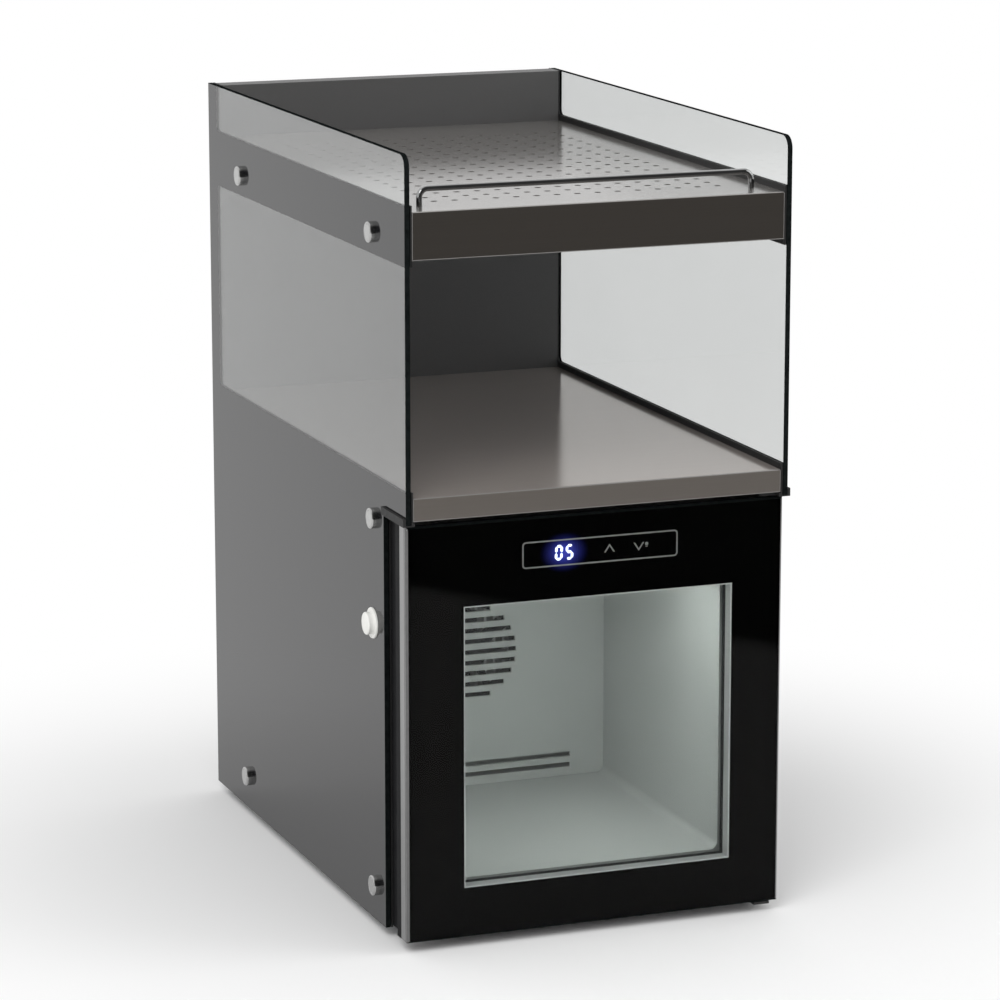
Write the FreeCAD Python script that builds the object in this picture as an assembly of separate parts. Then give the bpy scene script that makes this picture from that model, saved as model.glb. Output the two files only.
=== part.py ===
import FreeCAD, Part
import math
import os
from FreeCAD import Vector

# Milk fridge with two heated shelves above it, in millimetres.
# X runs to the right, Y to the back and Z up. The origin is on the surface that the feet
# stand on, under the middle of the cabinet. Heights are counted from the glass's lower edge.

# Cabinet
outer_width = 310.0
outer_depth = 485.0
foot_height = 8.0
step_depth = 50.0
step_height = 326.0
fit_gap = 0.2
straight = 0.001
sheet = 1.0

# Side glass and the steel cheeks behind it
glass_thickness = 4.0
glass_corner = 10.0
guard_height = 42.2
washer_thickness = 0.5
washer_radius = 7.0
plate_thickness = 1.2
plate_corner = 5.0
cheek_above = 4.8
cheek_below = 4.6
trim_wall = 2.2
trim_inner_wall = 1.4
trim_web = 1.0
trim_leg = 5.2
trim_inner_leg = 1.8

# Capped screws of the glass
cap_radius = 8.0
cap_proud = 4.2
cap_round = 1.2
cap_shank_radius = 3.0
cap_shank_reach = 4.0
cap_hole_gap = 0.5
cap_front_inset = 72.0
cap_back_inset = 89.0
cap_low_height = 28.0
cap_middle_drop = 8.5
cap_high_rise = 11.8

# Heated shelves
tray_setback = 0.5
lower_tray_rise = 20.1
lower_lip = 17.5
shelf_spacing = 213.7
upper_lip = 35.9
tray_bend = 1.6
tray_hole_radius = 2.6
tray_hole_pitch_x = 16.4
tray_hole_pitch_y = 20.0
tray_hole_columns = 15
tray_hole_rows = 18
tray_hole_front = 48.0
tray_base_upstand = 6.0
mat_thickness = 2.5
mat_side_margin = 24.0
mat_front_margin = 40.0
mat_back_margin = 20.0
thermostat_radius = 8.0
thermostat_height = 7.0

# Gallery rail
rail_radius = 2.3
rail_setback = 28.0
rail_side_inset = 15.6
rail_rise = 13.0
rail_bend = 6.5
rail_tail = 8.0
rail_nut_radius = 5.0
rail_nut_height = 3.0

# Rear column
column_depth = 23.0
column_return = 14.0
cover_recess = 4.0
column_window_margin = 24.0
cover_screw_radius = 2.0
cover_screw_head_radius = 3.8
cover_screw_head = 2.2
cover_screw_length = 7.0
cover_screw_margin = 30.0
cover_screw_rows = 4
grille_slot = 4.0
grille_pitch = 8.0
grille_margin = 3.0
louvre_width = 110.0
louvre_height = 4.0
louvre_pitch = 11.0
louvre_count = 7
louvre_bottom_height = 380.0

# Mains inlet
inlet_width = 27.0
inlet_height = 20.0
inlet_flange = 5.0
inlet_flange_thickness = 2.5
inlet_depth = 26.0
inlet_wall = 2.0
inlet_floor = 6.0
inlet_pin_width = 2.0
inlet_pin_height = 4.0
inlet_pin_length = 14.0
inlet_pin_spread = 7.0
inlet_pin_offset = 2.0
inlet_side_inset = 60.0
inlet_centre_height = 52.0

# Base and feet
base_sheet = 1.5
foot_radius = 14.0
foot_side_inset = 36.0
foot_front_inset = 96.0
foot_back_inset = 60.0
foot_screw_radius = 2.5
foot_screw_head_radius = 5.0
foot_screw_head = 3.0
foot_recess = 4.0
screw_gap = 0.1

# Fridge body
insulation_side = 31.0
insulation_bottom = 33.5
insulation_back = 35.0
liner_wall = 2.0
liner_setback = 0.7
liner_corner = 6.0
chamber_height = 226.0
chamber_depth = 273.0
collar_tongue = 12.0

# Cooling unit
cover_wall = 2.0
cover_slot = 4.0
cover_slot_pitch = 9.0
cover_slot_side = 30.0
cold_fan_size = 80.0
cold_fan_depth = 15.0
cold_fin_depth = 15.0
cold_sink_size = 100.0
cold_sink_base = 5.0
cold_fin_pitch = 8.0
cold_block_size = 50.0
peltier_size = 40.0
peltier_thickness = 4.0
hot_sink_size = 130.0
hot_sink_base = 6.0
hot_fin_depth = 35.0
hot_fin_pitch = 8.0
fin_thickness = 1.6
hot_fan_size = 120.0
hot_fan_depth = 25.0
fan_wall = 3.0
fan_tip_gap = 1.5
fan_hub_share = 0.36
fan_strut = 5.0
fan_plate = 3.0
fan_shaft_radius = 2.0
fan_shaft_gap = 0.05
fan_boss_radius = 5.0
fan_boss_gap = 1.0
fan_axial_gap = 0.8
fan_blades = 7
fan_blade_fill = 0.98
fan_blade_thickness = 1.6
fan_blade_angle = 38.0

# Electrics in the rear compartment
supply_width = 98.0
supply_depth = 62.0
supply_height = 38.0
supply_side_gap = 8.0
board_width = 92.0
board_depth = 60.0
board_thickness = 1.6
board_post_radius = 3.0
board_post_height = 8.0
board_post_inset = 6.0
relay_width = 20.0
relay_depth = 16.0
relay_height = 16.0

# Milk hose port
hose_front_inset = 76.0
hose_height = 235.0
hose_bore_radius = 8.1
hose_sleeve_wall = 1.9
hose_flange = 4.0
hose_flange_thickness = 1.5
plug_gap = 0.05
plug_flange_radius = 12.0
plug_flange_thickness = 1.5
plug_knob_radius = 8.8
plug_knob_proud = 6.5
plug_knob_round = 1.2
plug_stem = 34.0

# Chamber lamp
lamp_length = 170.0
lamp_depth = 14.0
lamp_height = 5.0
lamp_lens_height = 2.0
lamp_front_inset = 16.0
lamp_wall = 1.5

# Door
door_setback = 5.0
door_side_inset = 1.5
door_under_gap = 0.7
door_top_gap = 2.0
door_glass = 4.0
door_glass_edge = 1.8
door_mask = 0.3
door_frame_depth = 9.7
door_frame_width = 18.0
door_back_depth = 9.0
border_left = 47.1
border_right = 40.4
border_bottom = 38.0
border_top = 65.4
pane_thickness = 4.0
pane_overlap = 9.0
spacer_width = 6.0
spacer_reveal = 1.0
gasket_depth = 8.0
gasket_width = 12.0
gasket_inset = 14.5
gasket_gap = 0.3
gasket_lip = 2.5

# Display in the door's upper border
display_left_inset = 94.0
display_width = 126.8
display_height = 20.6
display_drop = 19.8
display_margin = 1.2
digit_width = 21.0
digit_height = 16.0
digit_left = 23.5
display_board_thickness = 1.6
display_module_depth = 2.0
display_gap = 0.1
display_post_radius = 2.5
display_post_inset = 5.0

# Hinges
hinge_inset = 12.5
hinge_pin_radius = 2.5
hinge_pin_gap = 0.05
hinge_bush_wall = 1.45
hinge_bush_length = 10.0
hinge_pin_head_radius = 4.5
hinge_pin_head = 1.2
hinge_plate = 2.0
hinge_plate_width = 13.0
hinge_plate_edge = 6.0
hinge_plate_nose = 7.0
hinge_plate_reach = 40.0
hinge_screw_radius = 2.0
hinge_screw_head_radius = 3.6
hinge_screw_head = 1.6
hinge_screw_length = 6.0
hinge_screw_first = 12.0
hinge_screw_pitch = 18.0

# Places worked out from the sizes
half_width = outer_width / 2
glass_x = half_width - glass_thickness
plate_x = glass_x - washer_thickness
cheek_x = plate_x - plate_thickness
inside_x = cheek_x - fit_gap
front_y = -outer_depth / 2
back_y = outer_depth / 2
base_z = foot_height
step_z = base_z + step_height
lower_top_z = step_z + lower_tray_rise
lower_lip_z = lower_top_z - lower_lip
upper_top_z = lower_top_z + shelf_spacing
upper_lip_z = upper_top_z - upper_lip
top_z = upper_top_z + guard_height
column_y = back_y - column_depth
tray_front_y = front_y + tray_setback
tray_back_y = column_y - fit_gap

cap_front_y = front_y + cap_front_inset
cap_back_y = back_y - cap_back_inset
cap_low_z = base_z + cap_low_height
cap_middle_z = step_z - cap_middle_drop
cap_high_z = upper_lip_z + cap_high_rise
cap_places = [
    (cap_front_y, cap_low_z),
    (cap_front_y, cap_middle_z),
    (cap_front_y, cap_high_z),
    (cap_back_y, cap_low_z),
    (cap_back_y, cap_high_z),
]
cap_hole_radius = cap_shank_radius + cap_hole_gap
cap_thread_radius = cap_shank_radius + screw_gap
cap_tip_x = inside_x - cap_shank_reach

door_front_y = front_y + door_setback
door_mask_y = door_front_y + door_glass
door_frame_y = door_mask_y + door_mask
door_back_frame_y = door_frame_y + door_frame_depth
door_back_y = door_back_frame_y + door_back_depth
gasket_back_y = door_back_y + gasket_depth
collar_front_y = gasket_back_y + gasket_gap
door_half = half_width - door_side_inset
door_bottom_z = base_z + door_under_gap
door_top_z = step_z - door_top_gap
window_left_x = -door_half + border_left
window_right_x = door_half - border_right
window_bottom_z = door_bottom_z + border_bottom
window_top_z = door_top_z - border_top

casing_front_y = front_y + step_depth
casing_back_y = column_y
casing_bottom_z = base_z + base_sheet
casing_top_z = step_z - trim_web
casing_in_x = inside_x - sheet
casing_in_bottom_z = casing_bottom_z + sheet
casing_in_top_z = casing_top_z - sheet
liner_out_x = casing_in_x - insulation_side
chamber_x = liner_out_x - liner_wall
liner_out_bottom_z = casing_in_bottom_z + insulation_bottom
chamber_bottom_z = liner_out_bottom_z + liner_wall
chamber_top_z = chamber_bottom_z + chamber_height
liner_out_top_z = chamber_top_z + liner_wall
liner_front_y = collar_front_y + liner_setback
chamber_back_y = collar_front_y + chamber_depth
liner_back_y = chamber_back_y + liner_wall
tongue_back_y = casing_front_y + collar_tongue
insulation_back_y = liner_back_y + insulation_back
unit_z = (chamber_bottom_z + chamber_top_z) / 2

cold_sink_y = chamber_back_y - cold_sink_base
cold_fin_y = cold_sink_y - cold_fin_depth
cold_fan_y = cold_fin_y - cold_fan_depth
evaporator_front_y = cold_fan_y - fit_gap - cover_wall
peltier_y = insulation_back_y - peltier_thickness
hot_fin_y = insulation_back_y + hot_sink_base
hot_fan_y = hot_fin_y + hot_fin_depth
cover_back_y = back_y - cover_recess
cover_front_y = cover_back_y - sheet
hinge_x = door_half - hinge_inset
hinge_y = door_frame_y + door_frame_depth / 2
hose_y = front_y + hose_front_inset
hose_z = base_z + hose_height
sleeve_radius = hose_bore_radius + hose_sleeve_wall
sleeve_hole_radius = sleeve_radius + screw_gap
bush_radius = hinge_pin_radius + hinge_pin_gap + hinge_bush_wall
hinge_screw_y = [casing_front_y + hinge_screw_first + i * hinge_screw_pitch for i in range(2)]
hinge_screw_x = hinge_x - hinge_plate_width / 2 + hinge_plate_edge
display_left_x = -door_half + display_left_inset
display_top_z = door_top_z - display_drop
display_bottom_z = display_top_z - display_height
display_board_y = door_frame_y + display_gap + display_module_depth

os.makedirs("parts", exist_ok=True)


def box(x0, x1, y0, y1, z0, z1):
    return Part.makeBox(x1 - x0, y1 - y0, z1 - z0, Vector(x0, y0, z0))


def rod_x(radius, x0, x1, y, z):
    return Part.makeCylinder(radius, x1 - x0, Vector(x0, y, z), Vector(1, 0, 0))


def rod_y(radius, x, y0, y1, z):
    return Part.makeCylinder(radius, y1 - y0, Vector(x, y0, z), Vector(0, 1, 0))


def rod_z(radius, x, y, z0, z1):
    return Part.makeCylinder(radius, z1 - z0, Vector(x, y, z0), Vector(0, 0, 1))


def cut_all(solid, tools):
    return solid.cut(Part.makeCompound(tools))


def fuse_all(solids):
    return solids[0].multiFuse(solids[1:]).removeSplitter()


def mirrored(shape):
    return shape.mirror(Vector(0, 0, 0), Vector(1, 0, 0))


def save(name, *solids):
    shape = solids[0] if len(solids) == 1 else Part.makeCompound(list(solids))
    shape.exportStep("parts/" + name + ".step")


def corner_arc(before, corner, after, radius):
    # The two tangent points and the middle point of the arc that rounds a corner.
    to_before = (before - corner).normalize()
    to_after = (after - corner).normalize()
    half_angle = to_before.getAngle(to_after) / 2
    reach = radius / math.tan(half_angle)
    centre = corner + (to_before + to_after).normalize() * (radius / math.sin(half_angle))
    middle = centre + (corner - centre).normalize() * radius
    return corner + to_before * reach, middle, corner + to_after * reach


def sheet_x(x0, x1, corners):
    # A flat sheet across X. Each corner is (y, z, rounding radius).
    points = [Vector(x0, y, z) for y, z, radius in corners]
    ends = []
    for i, (y, z, radius) in enumerate(corners):
        if radius > 0:
            ends.append(corner_arc(points[i - 1], points[i], points[(i + 1) % len(points)], radius))
        else:
            ends.append((points[i],))
    edges = []
    for i, end in enumerate(ends):
        if len(end) == 3:
            edges.append(Part.Arc(end[0], end[1], end[2]).toShape())
        start_of_next = ends[(i + 1) % len(ends)][0]
        edges.append(Part.LineSegment(end[-1], start_of_next).toShape())
    return Part.Face(Part.Wire(edges)).extrude(Vector(x1 - x0, 0, 0))


def round_edges(solid, radius, wanted):
    return solid.makeFillet(radius, [edge for edge in solid.Edges if wanted(edge)])


def runs_along_y(edge):
    tangent = edge.tangentAt(edge.FirstParameter)
    return abs(tangent.x) < straight and abs(tangent.z) < straight


def ring(outer, inner, y0, y1):
    # A rectangular frame along Y. Each outline is (x0, x1, z0, z1).
    ox0, ox1, oz0, oz1 = outer
    ix0, ix1, iz0, iz1 = inner
    return box(ox0, ox1, y0, y1, oz0, oz1).cut(box(ix0, ix1, y0, y1, iz0, iz1))


def grown(outline, margin):
    x0, x1, z0, z1 = outline
    return (x0 - margin, x1 + margin, z0 - margin, z1 + margin)


window = (window_left_x, window_right_x, window_bottom_z, window_top_z)
door_outline = (-door_half, door_half, door_bottom_z, door_top_z)
display_outline = (display_left_x, display_left_x + display_width, display_bottom_z, display_top_z)


# Side glass, right hand: clear sheet with a step over the door and drilled for its screws
def cap_holes(radius, x0, x1):
    return [rod_x(radius, x0, x1, y, z) for y, z in cap_places]


def hose_hole(radius, x0, x1):
    return rod_x(radius, x0, x1, hose_y, hose_z)


glass_corners = [
    (casing_front_y, base_z, 0),
    (casing_front_y, step_z, 0),
    (front_y, step_z, 0),
    (front_y, top_z, glass_corner),
    (back_y, top_z, 0),
    (back_y, base_z, 0),
]
glass_right = sheet_x(glass_x, half_width, glass_corners)
glass_right = cut_all(glass_right, cap_holes(cap_hole_radius, glass_x, half_width))
glass_left = mirrored(glass_right).cut(hose_hole(sleeve_hole_radius, -half_width, -glass_x))
save("side_glass_right", glass_right)
save("side_glass_left", glass_left)

# Steel cheek behind each glass: body side, shelf band and rear upright in one sheet
plate_corners = [
    (casing_front_y, base_z, 0),
    (casing_front_y, step_z, 0),
    (front_y, step_z, 0),
    (front_y, lower_top_z + cheek_above, 0),
    (column_y, lower_top_z + cheek_above, plate_corner),
    (column_y, upper_lip_z - cheek_below, plate_corner),
    (front_y, upper_lip_z - cheek_below, 0),
    (front_y, upper_top_z + cheek_above, 0),
    (column_y, upper_top_z + cheek_above, plate_corner),
    (column_y, top_z, 0),
    (back_y, top_z, 0),
    (back_y, base_z, 0),
]
plate_right = sheet_x(cheek_x, plate_x, plate_corners)
plate_right = cut_all(plate_right, cap_holes(cap_thread_radius, cheek_x, plate_x))
plate_left = mirrored(plate_right).cut(hose_hole(sleeve_hole_radius, -plate_x, -cheek_x))
save("side_cheek_right", plate_right)
save("side_cheek_left", plate_left)


# Capped screws that hold the glass, cheek and body together, with rubber washers between
def glass_cap(y, z):
    head = rod_x(cap_radius, half_width, half_width + cap_proud, y, z)
    head = round_edges(head, cap_round, lambda edge: edge.BoundBox.XMin > half_width + cap_proud / 2)
    return head.fuse(rod_x(cap_shank_radius, cap_tip_x, half_width, y, z)).removeSplitter()


def glass_washer(y, z):
    disc = rod_x(washer_radius, plate_x, glass_x, y, z)
    return disc.cut(rod_x(cap_hole_radius, plate_x, glass_x, y, z))


caps = [glass_cap(y, z) for y, z in cap_places]
washers = [glass_washer(y, z) for y, z in cap_places]
save("glass_caps_right", *caps)
save("glass_caps_left", *[mirrored(cap) for cap in caps])
save("glass_washers", *washers, *[mirrored(washer) for washer in washers])

# Edge trim: a rubber channel under the step of each glass and cheek
trim_in_x = cheek_x - trim_inner_wall
trim_out_x = half_width + trim_wall
trim_bottom_z = step_z - trim_web
trim = fuse_all([
    box(trim_in_x, trim_out_x, front_y, casing_front_y, trim_bottom_z, step_z),
    box(half_width, trim_out_x, front_y, casing_front_y, trim_bottom_z, step_z + trim_leg),
    box(trim_in_x, cheek_x, front_y, casing_front_y, trim_bottom_z, step_z + trim_inner_leg),
])
save("step_trim_right", trim)
save("step_trim_left", mirrored(trim))

# Base plate, rubber feet and their screws
feet = []
for side in (-1, 1):
    for y in (front_y + foot_front_inset, back_y - foot_back_inset):
        feet.append((side * (half_width - foot_side_inset), y))
base_back_y = cover_front_y - sheet - fit_gap
base_plate = box(-inside_x, inside_x, casing_front_y, base_back_y, base_z, casing_bottom_z)
foot_hole_radius = foot_screw_radius + screw_gap
foot_holes = [rod_z(foot_hole_radius, x, y, base_z, casing_bottom_z) for x, y in feet]
base_plate = cut_all(base_plate, foot_holes)


def rubber_foot(x, y):
    foot = rod_z(foot_radius, x, y, 0, base_z)
    recess = rod_z(foot_screw_head_radius + screw_gap, x, y, 0, foot_recess)
    return foot.cut(recess).cut(rod_z(foot_hole_radius, x, y, foot_recess, base_z))


def foot_screw(x, y):
    head = rod_z(foot_screw_head_radius, x, y, foot_recess - foot_screw_head, foot_recess)
    return head.fuse(rod_z(foot_screw_radius, x, y, foot_recess, casing_bottom_z)).removeSplitter()


save("rubber_feet", *[rubber_foot(x, y) for x, y in feet])
save("foot_screws", *[foot_screw(x, y) for x, y in feet])

# Hinge plates, screws and pins: one on the body's top, one under the base plate
hinge_plate_x0 = hinge_x - hinge_plate_width / 2
hinge_plate_x1 = hinge_x + hinge_plate_width / 2
hinge_plate_y0 = hinge_y - hinge_plate_nose
hinge_plate_y1 = casing_front_y + hinge_plate_reach
hinge_screw_hole_radius = hinge_screw_radius + screw_gap
pin_hole_radius = hinge_pin_radius + screw_gap


def hinge_bracket(z0, z1):
    plate = box(hinge_plate_x0, hinge_plate_x1, hinge_plate_y0, hinge_plate_y1, z0, z1)
    holes = [rod_z(hinge_screw_hole_radius, hinge_screw_x, y, z0, z1) for y in hinge_screw_y]
    holes.append(rod_z(pin_hole_radius, hinge_x, hinge_y, z0, z1))
    return cut_all(plate, holes)


upper_plate_top_z = casing_top_z + hinge_plate
lower_plate_bottom_z = base_z - hinge_plate
save("upper_hinge_plate", hinge_bracket(casing_top_z, upper_plate_top_z))
save("lower_hinge_plate", hinge_bracket(lower_plate_bottom_z, base_z))

upper_pin_head_z = upper_plate_top_z + hinge_pin_head
upper_pin = fuse_all([
    rod_z(hinge_pin_radius, hinge_x, hinge_y, door_top_z - hinge_bush_length, upper_plate_top_z),
    rod_z(hinge_pin_head_radius, hinge_x, hinge_y, upper_plate_top_z, upper_pin_head_z),
])
lower_pin_head_z = lower_plate_bottom_z - hinge_pin_head
lower_pin = fuse_all([
    rod_z(hinge_pin_radius, hinge_x, hinge_y, lower_plate_bottom_z, door_bottom_z + hinge_bush_length),
    rod_z(hinge_pin_head_radius, hinge_x, hinge_y, lower_pin_head_z, lower_plate_bottom_z),
])
save("hinge_pins", upper_pin, lower_pin)

upper_screw_tip_z = upper_plate_top_z - hinge_screw_length
lower_screw_tip_z = lower_plate_bottom_z + hinge_screw_length
hinge_screws = []
for y in hinge_screw_y:
    upper_head_z = upper_plate_top_z + hinge_screw_head
    lower_head_z = lower_plate_bottom_z - hinge_screw_head
    hinge_screws.append(fuse_all([
        rod_z(hinge_screw_head_radius, hinge_screw_x, y, upper_plate_top_z, upper_head_z),
        rod_z(hinge_screw_radius, hinge_screw_x, y, upper_screw_tip_z, upper_plate_top_z),
    ]))
    hinge_screws.append(fuse_all([
        rod_z(hinge_screw_head_radius, hinge_screw_x, y, lower_head_z, lower_plate_bottom_z),
        rod_z(hinge_screw_radius, hinge_screw_x, y, lower_plate_bottom_z, lower_screw_tip_z),
    ]))
save("hinge_screws", *hinge_screws)
upper_screw_holes = [
    rod_z(hinge_screw_hole_radius, hinge_screw_x, y, upper_screw_tip_z - screw_gap, casing_top_z)
    for y in hinge_screw_y
]
lower_screw_holes = [
    rod_z(hinge_screw_hole_radius, hinge_screw_x, y, base_z, lower_screw_tip_z + screw_gap)
    for y in hinge_screw_y
]
base_plate = cut_all(base_plate, lower_screw_holes)
save("base_plate", base_plate)

# Screw tips of the glass caps reach through the body's sides
cap_tips_right = cap_holes(cap_thread_radius, cap_tip_x - screw_gap, inside_x)
cap_tips = cap_tips_right + [mirrored(tip) for tip in cap_tips_right]
body_holes = cap_tips + upper_screw_holes + lower_screw_holes

# Outer casing of the fridge: folded sheet, open at the front and back
casing_outline = (-inside_x, inside_x, casing_bottom_z, casing_top_z)
casing_inside = (-casing_in_x, casing_in_x, casing_in_bottom_z, casing_in_top_z)
casing = ring(casing_outline, casing_inside, casing_front_y, casing_back_y)
casing = cut_all(casing, body_holes + [hose_hole(sleeve_hole_radius, -inside_x, -casing_in_x)])
save("outer_casing", casing)

# Front collar: black frame that closes the foam and takes the door seal
liner_outline = (-liner_out_x, liner_out_x, liner_out_bottom_z, liner_out_top_z)
collar = ring(casing_outline, liner_outline, collar_front_y, casing_front_y)
tongue = ring(grown(casing_inside, -fit_gap), liner_outline, casing_front_y, tongue_back_y)
collar = cut_all(collar.fuse(tongue).removeSplitter(), body_holes)
save("front_collar", collar)

# Foam around the chamber
sleeve_in_x = -chamber_x + hose_flange_thickness
sleeve_clear = [
    hose_hole(sleeve_hole_radius, -casing_in_x, sleeve_in_x),
    hose_hole(sleeve_radius + hose_flange + screw_gap, -chamber_x, sleeve_in_x),
]
block_half = cold_block_size / 2
block_bottom_z = unit_z - block_half
block_top_z = unit_z + block_half
block_hole = box(-block_half, block_half, chamber_back_y, insulation_back_y, block_bottom_z, block_top_z)
foam = fuse_all([
    ring(casing_inside, liner_outline, tongue_back_y, liner_back_y),
    box(-casing_in_x, casing_in_x, liner_back_y, insulation_back_y, casing_in_bottom_z, casing_in_top_z),
])
foam = cut_all(foam, body_holes + sleeve_clear + [block_hole])
save("foam_insulation", foam)

# Chamber liner: moulded tub with rounded inner corners
tub_hollow = box(-chamber_x, chamber_x, liner_front_y, chamber_back_y, chamber_bottom_z, chamber_top_z)
tub_hollow = round_edges(tub_hollow, liner_corner, runs_along_y)
liner = box(-liner_out_x, liner_out_x, liner_front_y, liner_back_y, liner_out_bottom_z, liner_out_top_z)
save("chamber_liner", cut_all(liner, sleeve_clear + [tub_hollow, block_hole]))

# Milk hose port: sleeve through the left wall, and the plug that closes it
hose_sleeve = fuse_all([
    rod_x(sleeve_radius, -half_width, sleeve_in_x, hose_y, hose_z),
    rod_x(sleeve_radius + hose_flange, -chamber_x, sleeve_in_x, hose_y, hose_z),
])
hose_sleeve = hose_sleeve.cut(hose_hole(hose_bore_radius, -half_width, sleeve_in_x))
save("hose_sleeve", hose_sleeve)
plug_face_x = -half_width - plug_knob_proud
plug_knob = rod_x(plug_knob_radius, plug_face_x, -half_width, hose_y, hose_z)
plug_knob = round_edges(plug_knob, plug_knob_round, lambda edge: (
    edge.BoundBox.XMax < plug_face_x + plug_knob_round))
hose_plug = fuse_all([
    plug_knob,
    rod_x(plug_flange_radius, -half_width - plug_flange_thickness, -half_width, hose_y, hose_z),
    rod_x(hose_bore_radius - plug_gap, -half_width, -half_width + plug_stem, hose_y, hose_z),
])
save("hose_plug", hose_plug.removeSplitter())

# Chamber lamp under the ceiling: housing and its diffuser
lamp_y0 = liner_front_y + lamp_front_inset
lamp_y1 = lamp_y0 + lamp_depth
lamp_half = lamp_length / 2
lamp_z = chamber_top_z - lamp_height
lamp_housing = box(-lamp_half, lamp_half, lamp_y0, lamp_y1, lamp_z, chamber_top_z)
lamp_hollow = box(
    -lamp_half + lamp_wall, lamp_half - lamp_wall, lamp_y0 + lamp_wall, lamp_y1 - lamp_wall,
    lamp_z, chamber_top_z - lamp_wall)
save("lamp_housing", lamp_housing.cut(lamp_hollow))
save("lamp_diffuser", box(-lamp_half, lamp_half, lamp_y0, lamp_y1, lamp_z - lamp_lens_height, lamp_z))


# Finned heat sink along Y, with fins that run up and down
def heat_sink(size, base_y0, base_y1, fin_y0, fin_y1, pitch):
    half = size / 2
    pieces = [box(-half, half, base_y0, base_y1, unit_z - half, unit_z + half)]
    count = int((size - fin_thickness) / pitch) + 1
    first = -(count - 1) * pitch / 2
    for i in range(count):
        x = first + i * pitch
        fin = box(x - fin_thickness / 2, x + fin_thickness / 2, fin_y0, fin_y1, unit_z - half, unit_z + half)
        pieces.append(fin)
    return fuse_all(pieces)


# Fan along Y: square frame with a bearing plate at one end, and the rotor that turns in it
def fan(size, depth, y0, plate_at_back):
    half = size / 2
    y1 = y0 + depth
    bore = half - fan_wall
    hub = bore * fan_hub_share
    plate_y0 = y1 - fan_plate if plate_at_back else y0
    plate_y1 = plate_y0 + fan_plate
    frame = box(-half, half, y0, y1, unit_z - half, unit_z + half)
    frame = frame.cut(rod_y(bore, 0, y0, y1, unit_z))
    hub_plate = rod_y(hub, 0, plate_y0, plate_y1, unit_z)
    bar = fan_strut / 2
    strut_x = box(-bore - fan_wall / 2, bore + fan_wall / 2, plate_y0, plate_y1, unit_z - bar, unit_z + bar)
    strut_z = box(-bar, bar, plate_y0, plate_y1, unit_z - bore - fan_wall / 2, unit_z + bore + fan_wall / 2)
    boss_length = depth / 2 - fan_plate
    boss_y0 = plate_y0 - boss_length if plate_at_back else plate_y1
    boss = rod_y(fan_boss_radius, 0, boss_y0, boss_y0 + boss_length, unit_z)
    shaft_bore = rod_y(fan_shaft_radius + fan_shaft_gap, 0, y0, y1, unit_z)
    frame = fuse_all([frame, hub_plate, strut_x, strut_z, boss]).cut(shaft_bore)
    rotor_y0 = y0 + fan_axial_gap if plate_at_back else plate_y1 + fan_axial_gap
    rotor_y1 = plate_y0 - fan_axial_gap if plate_at_back else y1 - fan_axial_gap
    cup = rod_y(hub, 0, rotor_y0, rotor_y1, unit_z)
    well_y0 = boss_y0 - fan_axial_gap if plate_at_back else rotor_y0
    well_y1 = rotor_y1 if plate_at_back else boss_y0 + boss_length + fan_axial_gap
    cup = cup.cut(rod_y(fan_boss_radius + fan_boss_gap, 0, well_y0, well_y1, unit_z))
    shaft_y0 = well_y0 if plate_at_back else plate_y0
    shaft_y1 = plate_y1 if plate_at_back else well_y1
    blades = []
    span = rotor_y1 - rotor_y0
    blade_angle = math.radians(fan_blade_angle)
    chord = (span * fan_blade_fill - fan_blade_thickness * math.sin(blade_angle)) / math.cos(blade_angle)
    middle = Vector(0, (rotor_y0 + rotor_y1) / 2, unit_z)
    for i in range(fan_blades):
        blade = box(
            -fan_blade_thickness / 2, fan_blade_thickness / 2, -chord / 2, chord / 2,
            hub - fan_wall, bore - fan_tip_gap - fan_blade_thickness)
        blade.rotate(Vector(0, 0, 0), Vector(0, 0, 1), fan_blade_angle)
        blade.rotate(Vector(0, 0, 0), Vector(0, 1, 0), i * 360 / fan_blades)
        blade.translate(middle)
        blades.append(blade)
    tip_limit = rod_y(bore - fan_tip_gap, 0, rotor_y0, rotor_y1, unit_z)
    rotor = fuse_all([cup] + blades).common(tip_limit)
    rotor = rotor.cut(rod_y(fan_boss_radius + fan_boss_gap, 0, well_y0, well_y1, unit_z))
    rotor = rotor.fuse(rod_y(fan_shaft_radius, 0, shaft_y0, shaft_y1, unit_z)).removeSplitter()
    return frame, rotor


# Cooling unit, from the chamber to the back: cover, fan, cold sink, block, module, hot sink, fan
cover_x = chamber_x - fit_gap
cover_bottom_z = chamber_bottom_z + fit_gap
cover_top_z = chamber_top_z - fit_gap
skirt = (-cover_x, cover_x, cover_bottom_z, cover_top_z)
evaporator_face_y = evaporator_front_y + cover_wall
cover_face = box(-cover_x, cover_x, evaporator_front_y, evaporator_face_y, cover_bottom_z, cover_top_z)
cover_skirt = ring(skirt, grown(skirt, -cover_wall), evaporator_front_y, chamber_back_y)
fan_half = cold_fan_size / 2
cover_slots = []
slot_count = int((cold_fan_size - cover_slot) / cover_slot_pitch) + 1
for i in range(slot_count):
    z = unit_z + (i - (slot_count - 1) / 2) * cover_slot_pitch
    reach = math.sqrt(max(fan_half ** 2 - (z - unit_z) ** 2, cover_slot_pitch ** 2)) - fan_wall
    cover_slots.append(box(
        -reach, reach, evaporator_front_y, evaporator_face_y, z - cover_slot / 2, z + cover_slot / 2))
for z in (cover_bottom_z + cover_slot_pitch, cover_bottom_z + 2 * cover_slot_pitch):
    cover_slots.append(box(
        -cover_x + cover_slot_side, cover_x - cover_slot_side, evaporator_front_y, evaporator_face_y,
        z - cover_slot / 2, z + cover_slot / 2))
evaporator = cut_all(cover_face.fuse(cover_skirt).removeSplitter(), cover_slots)
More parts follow.
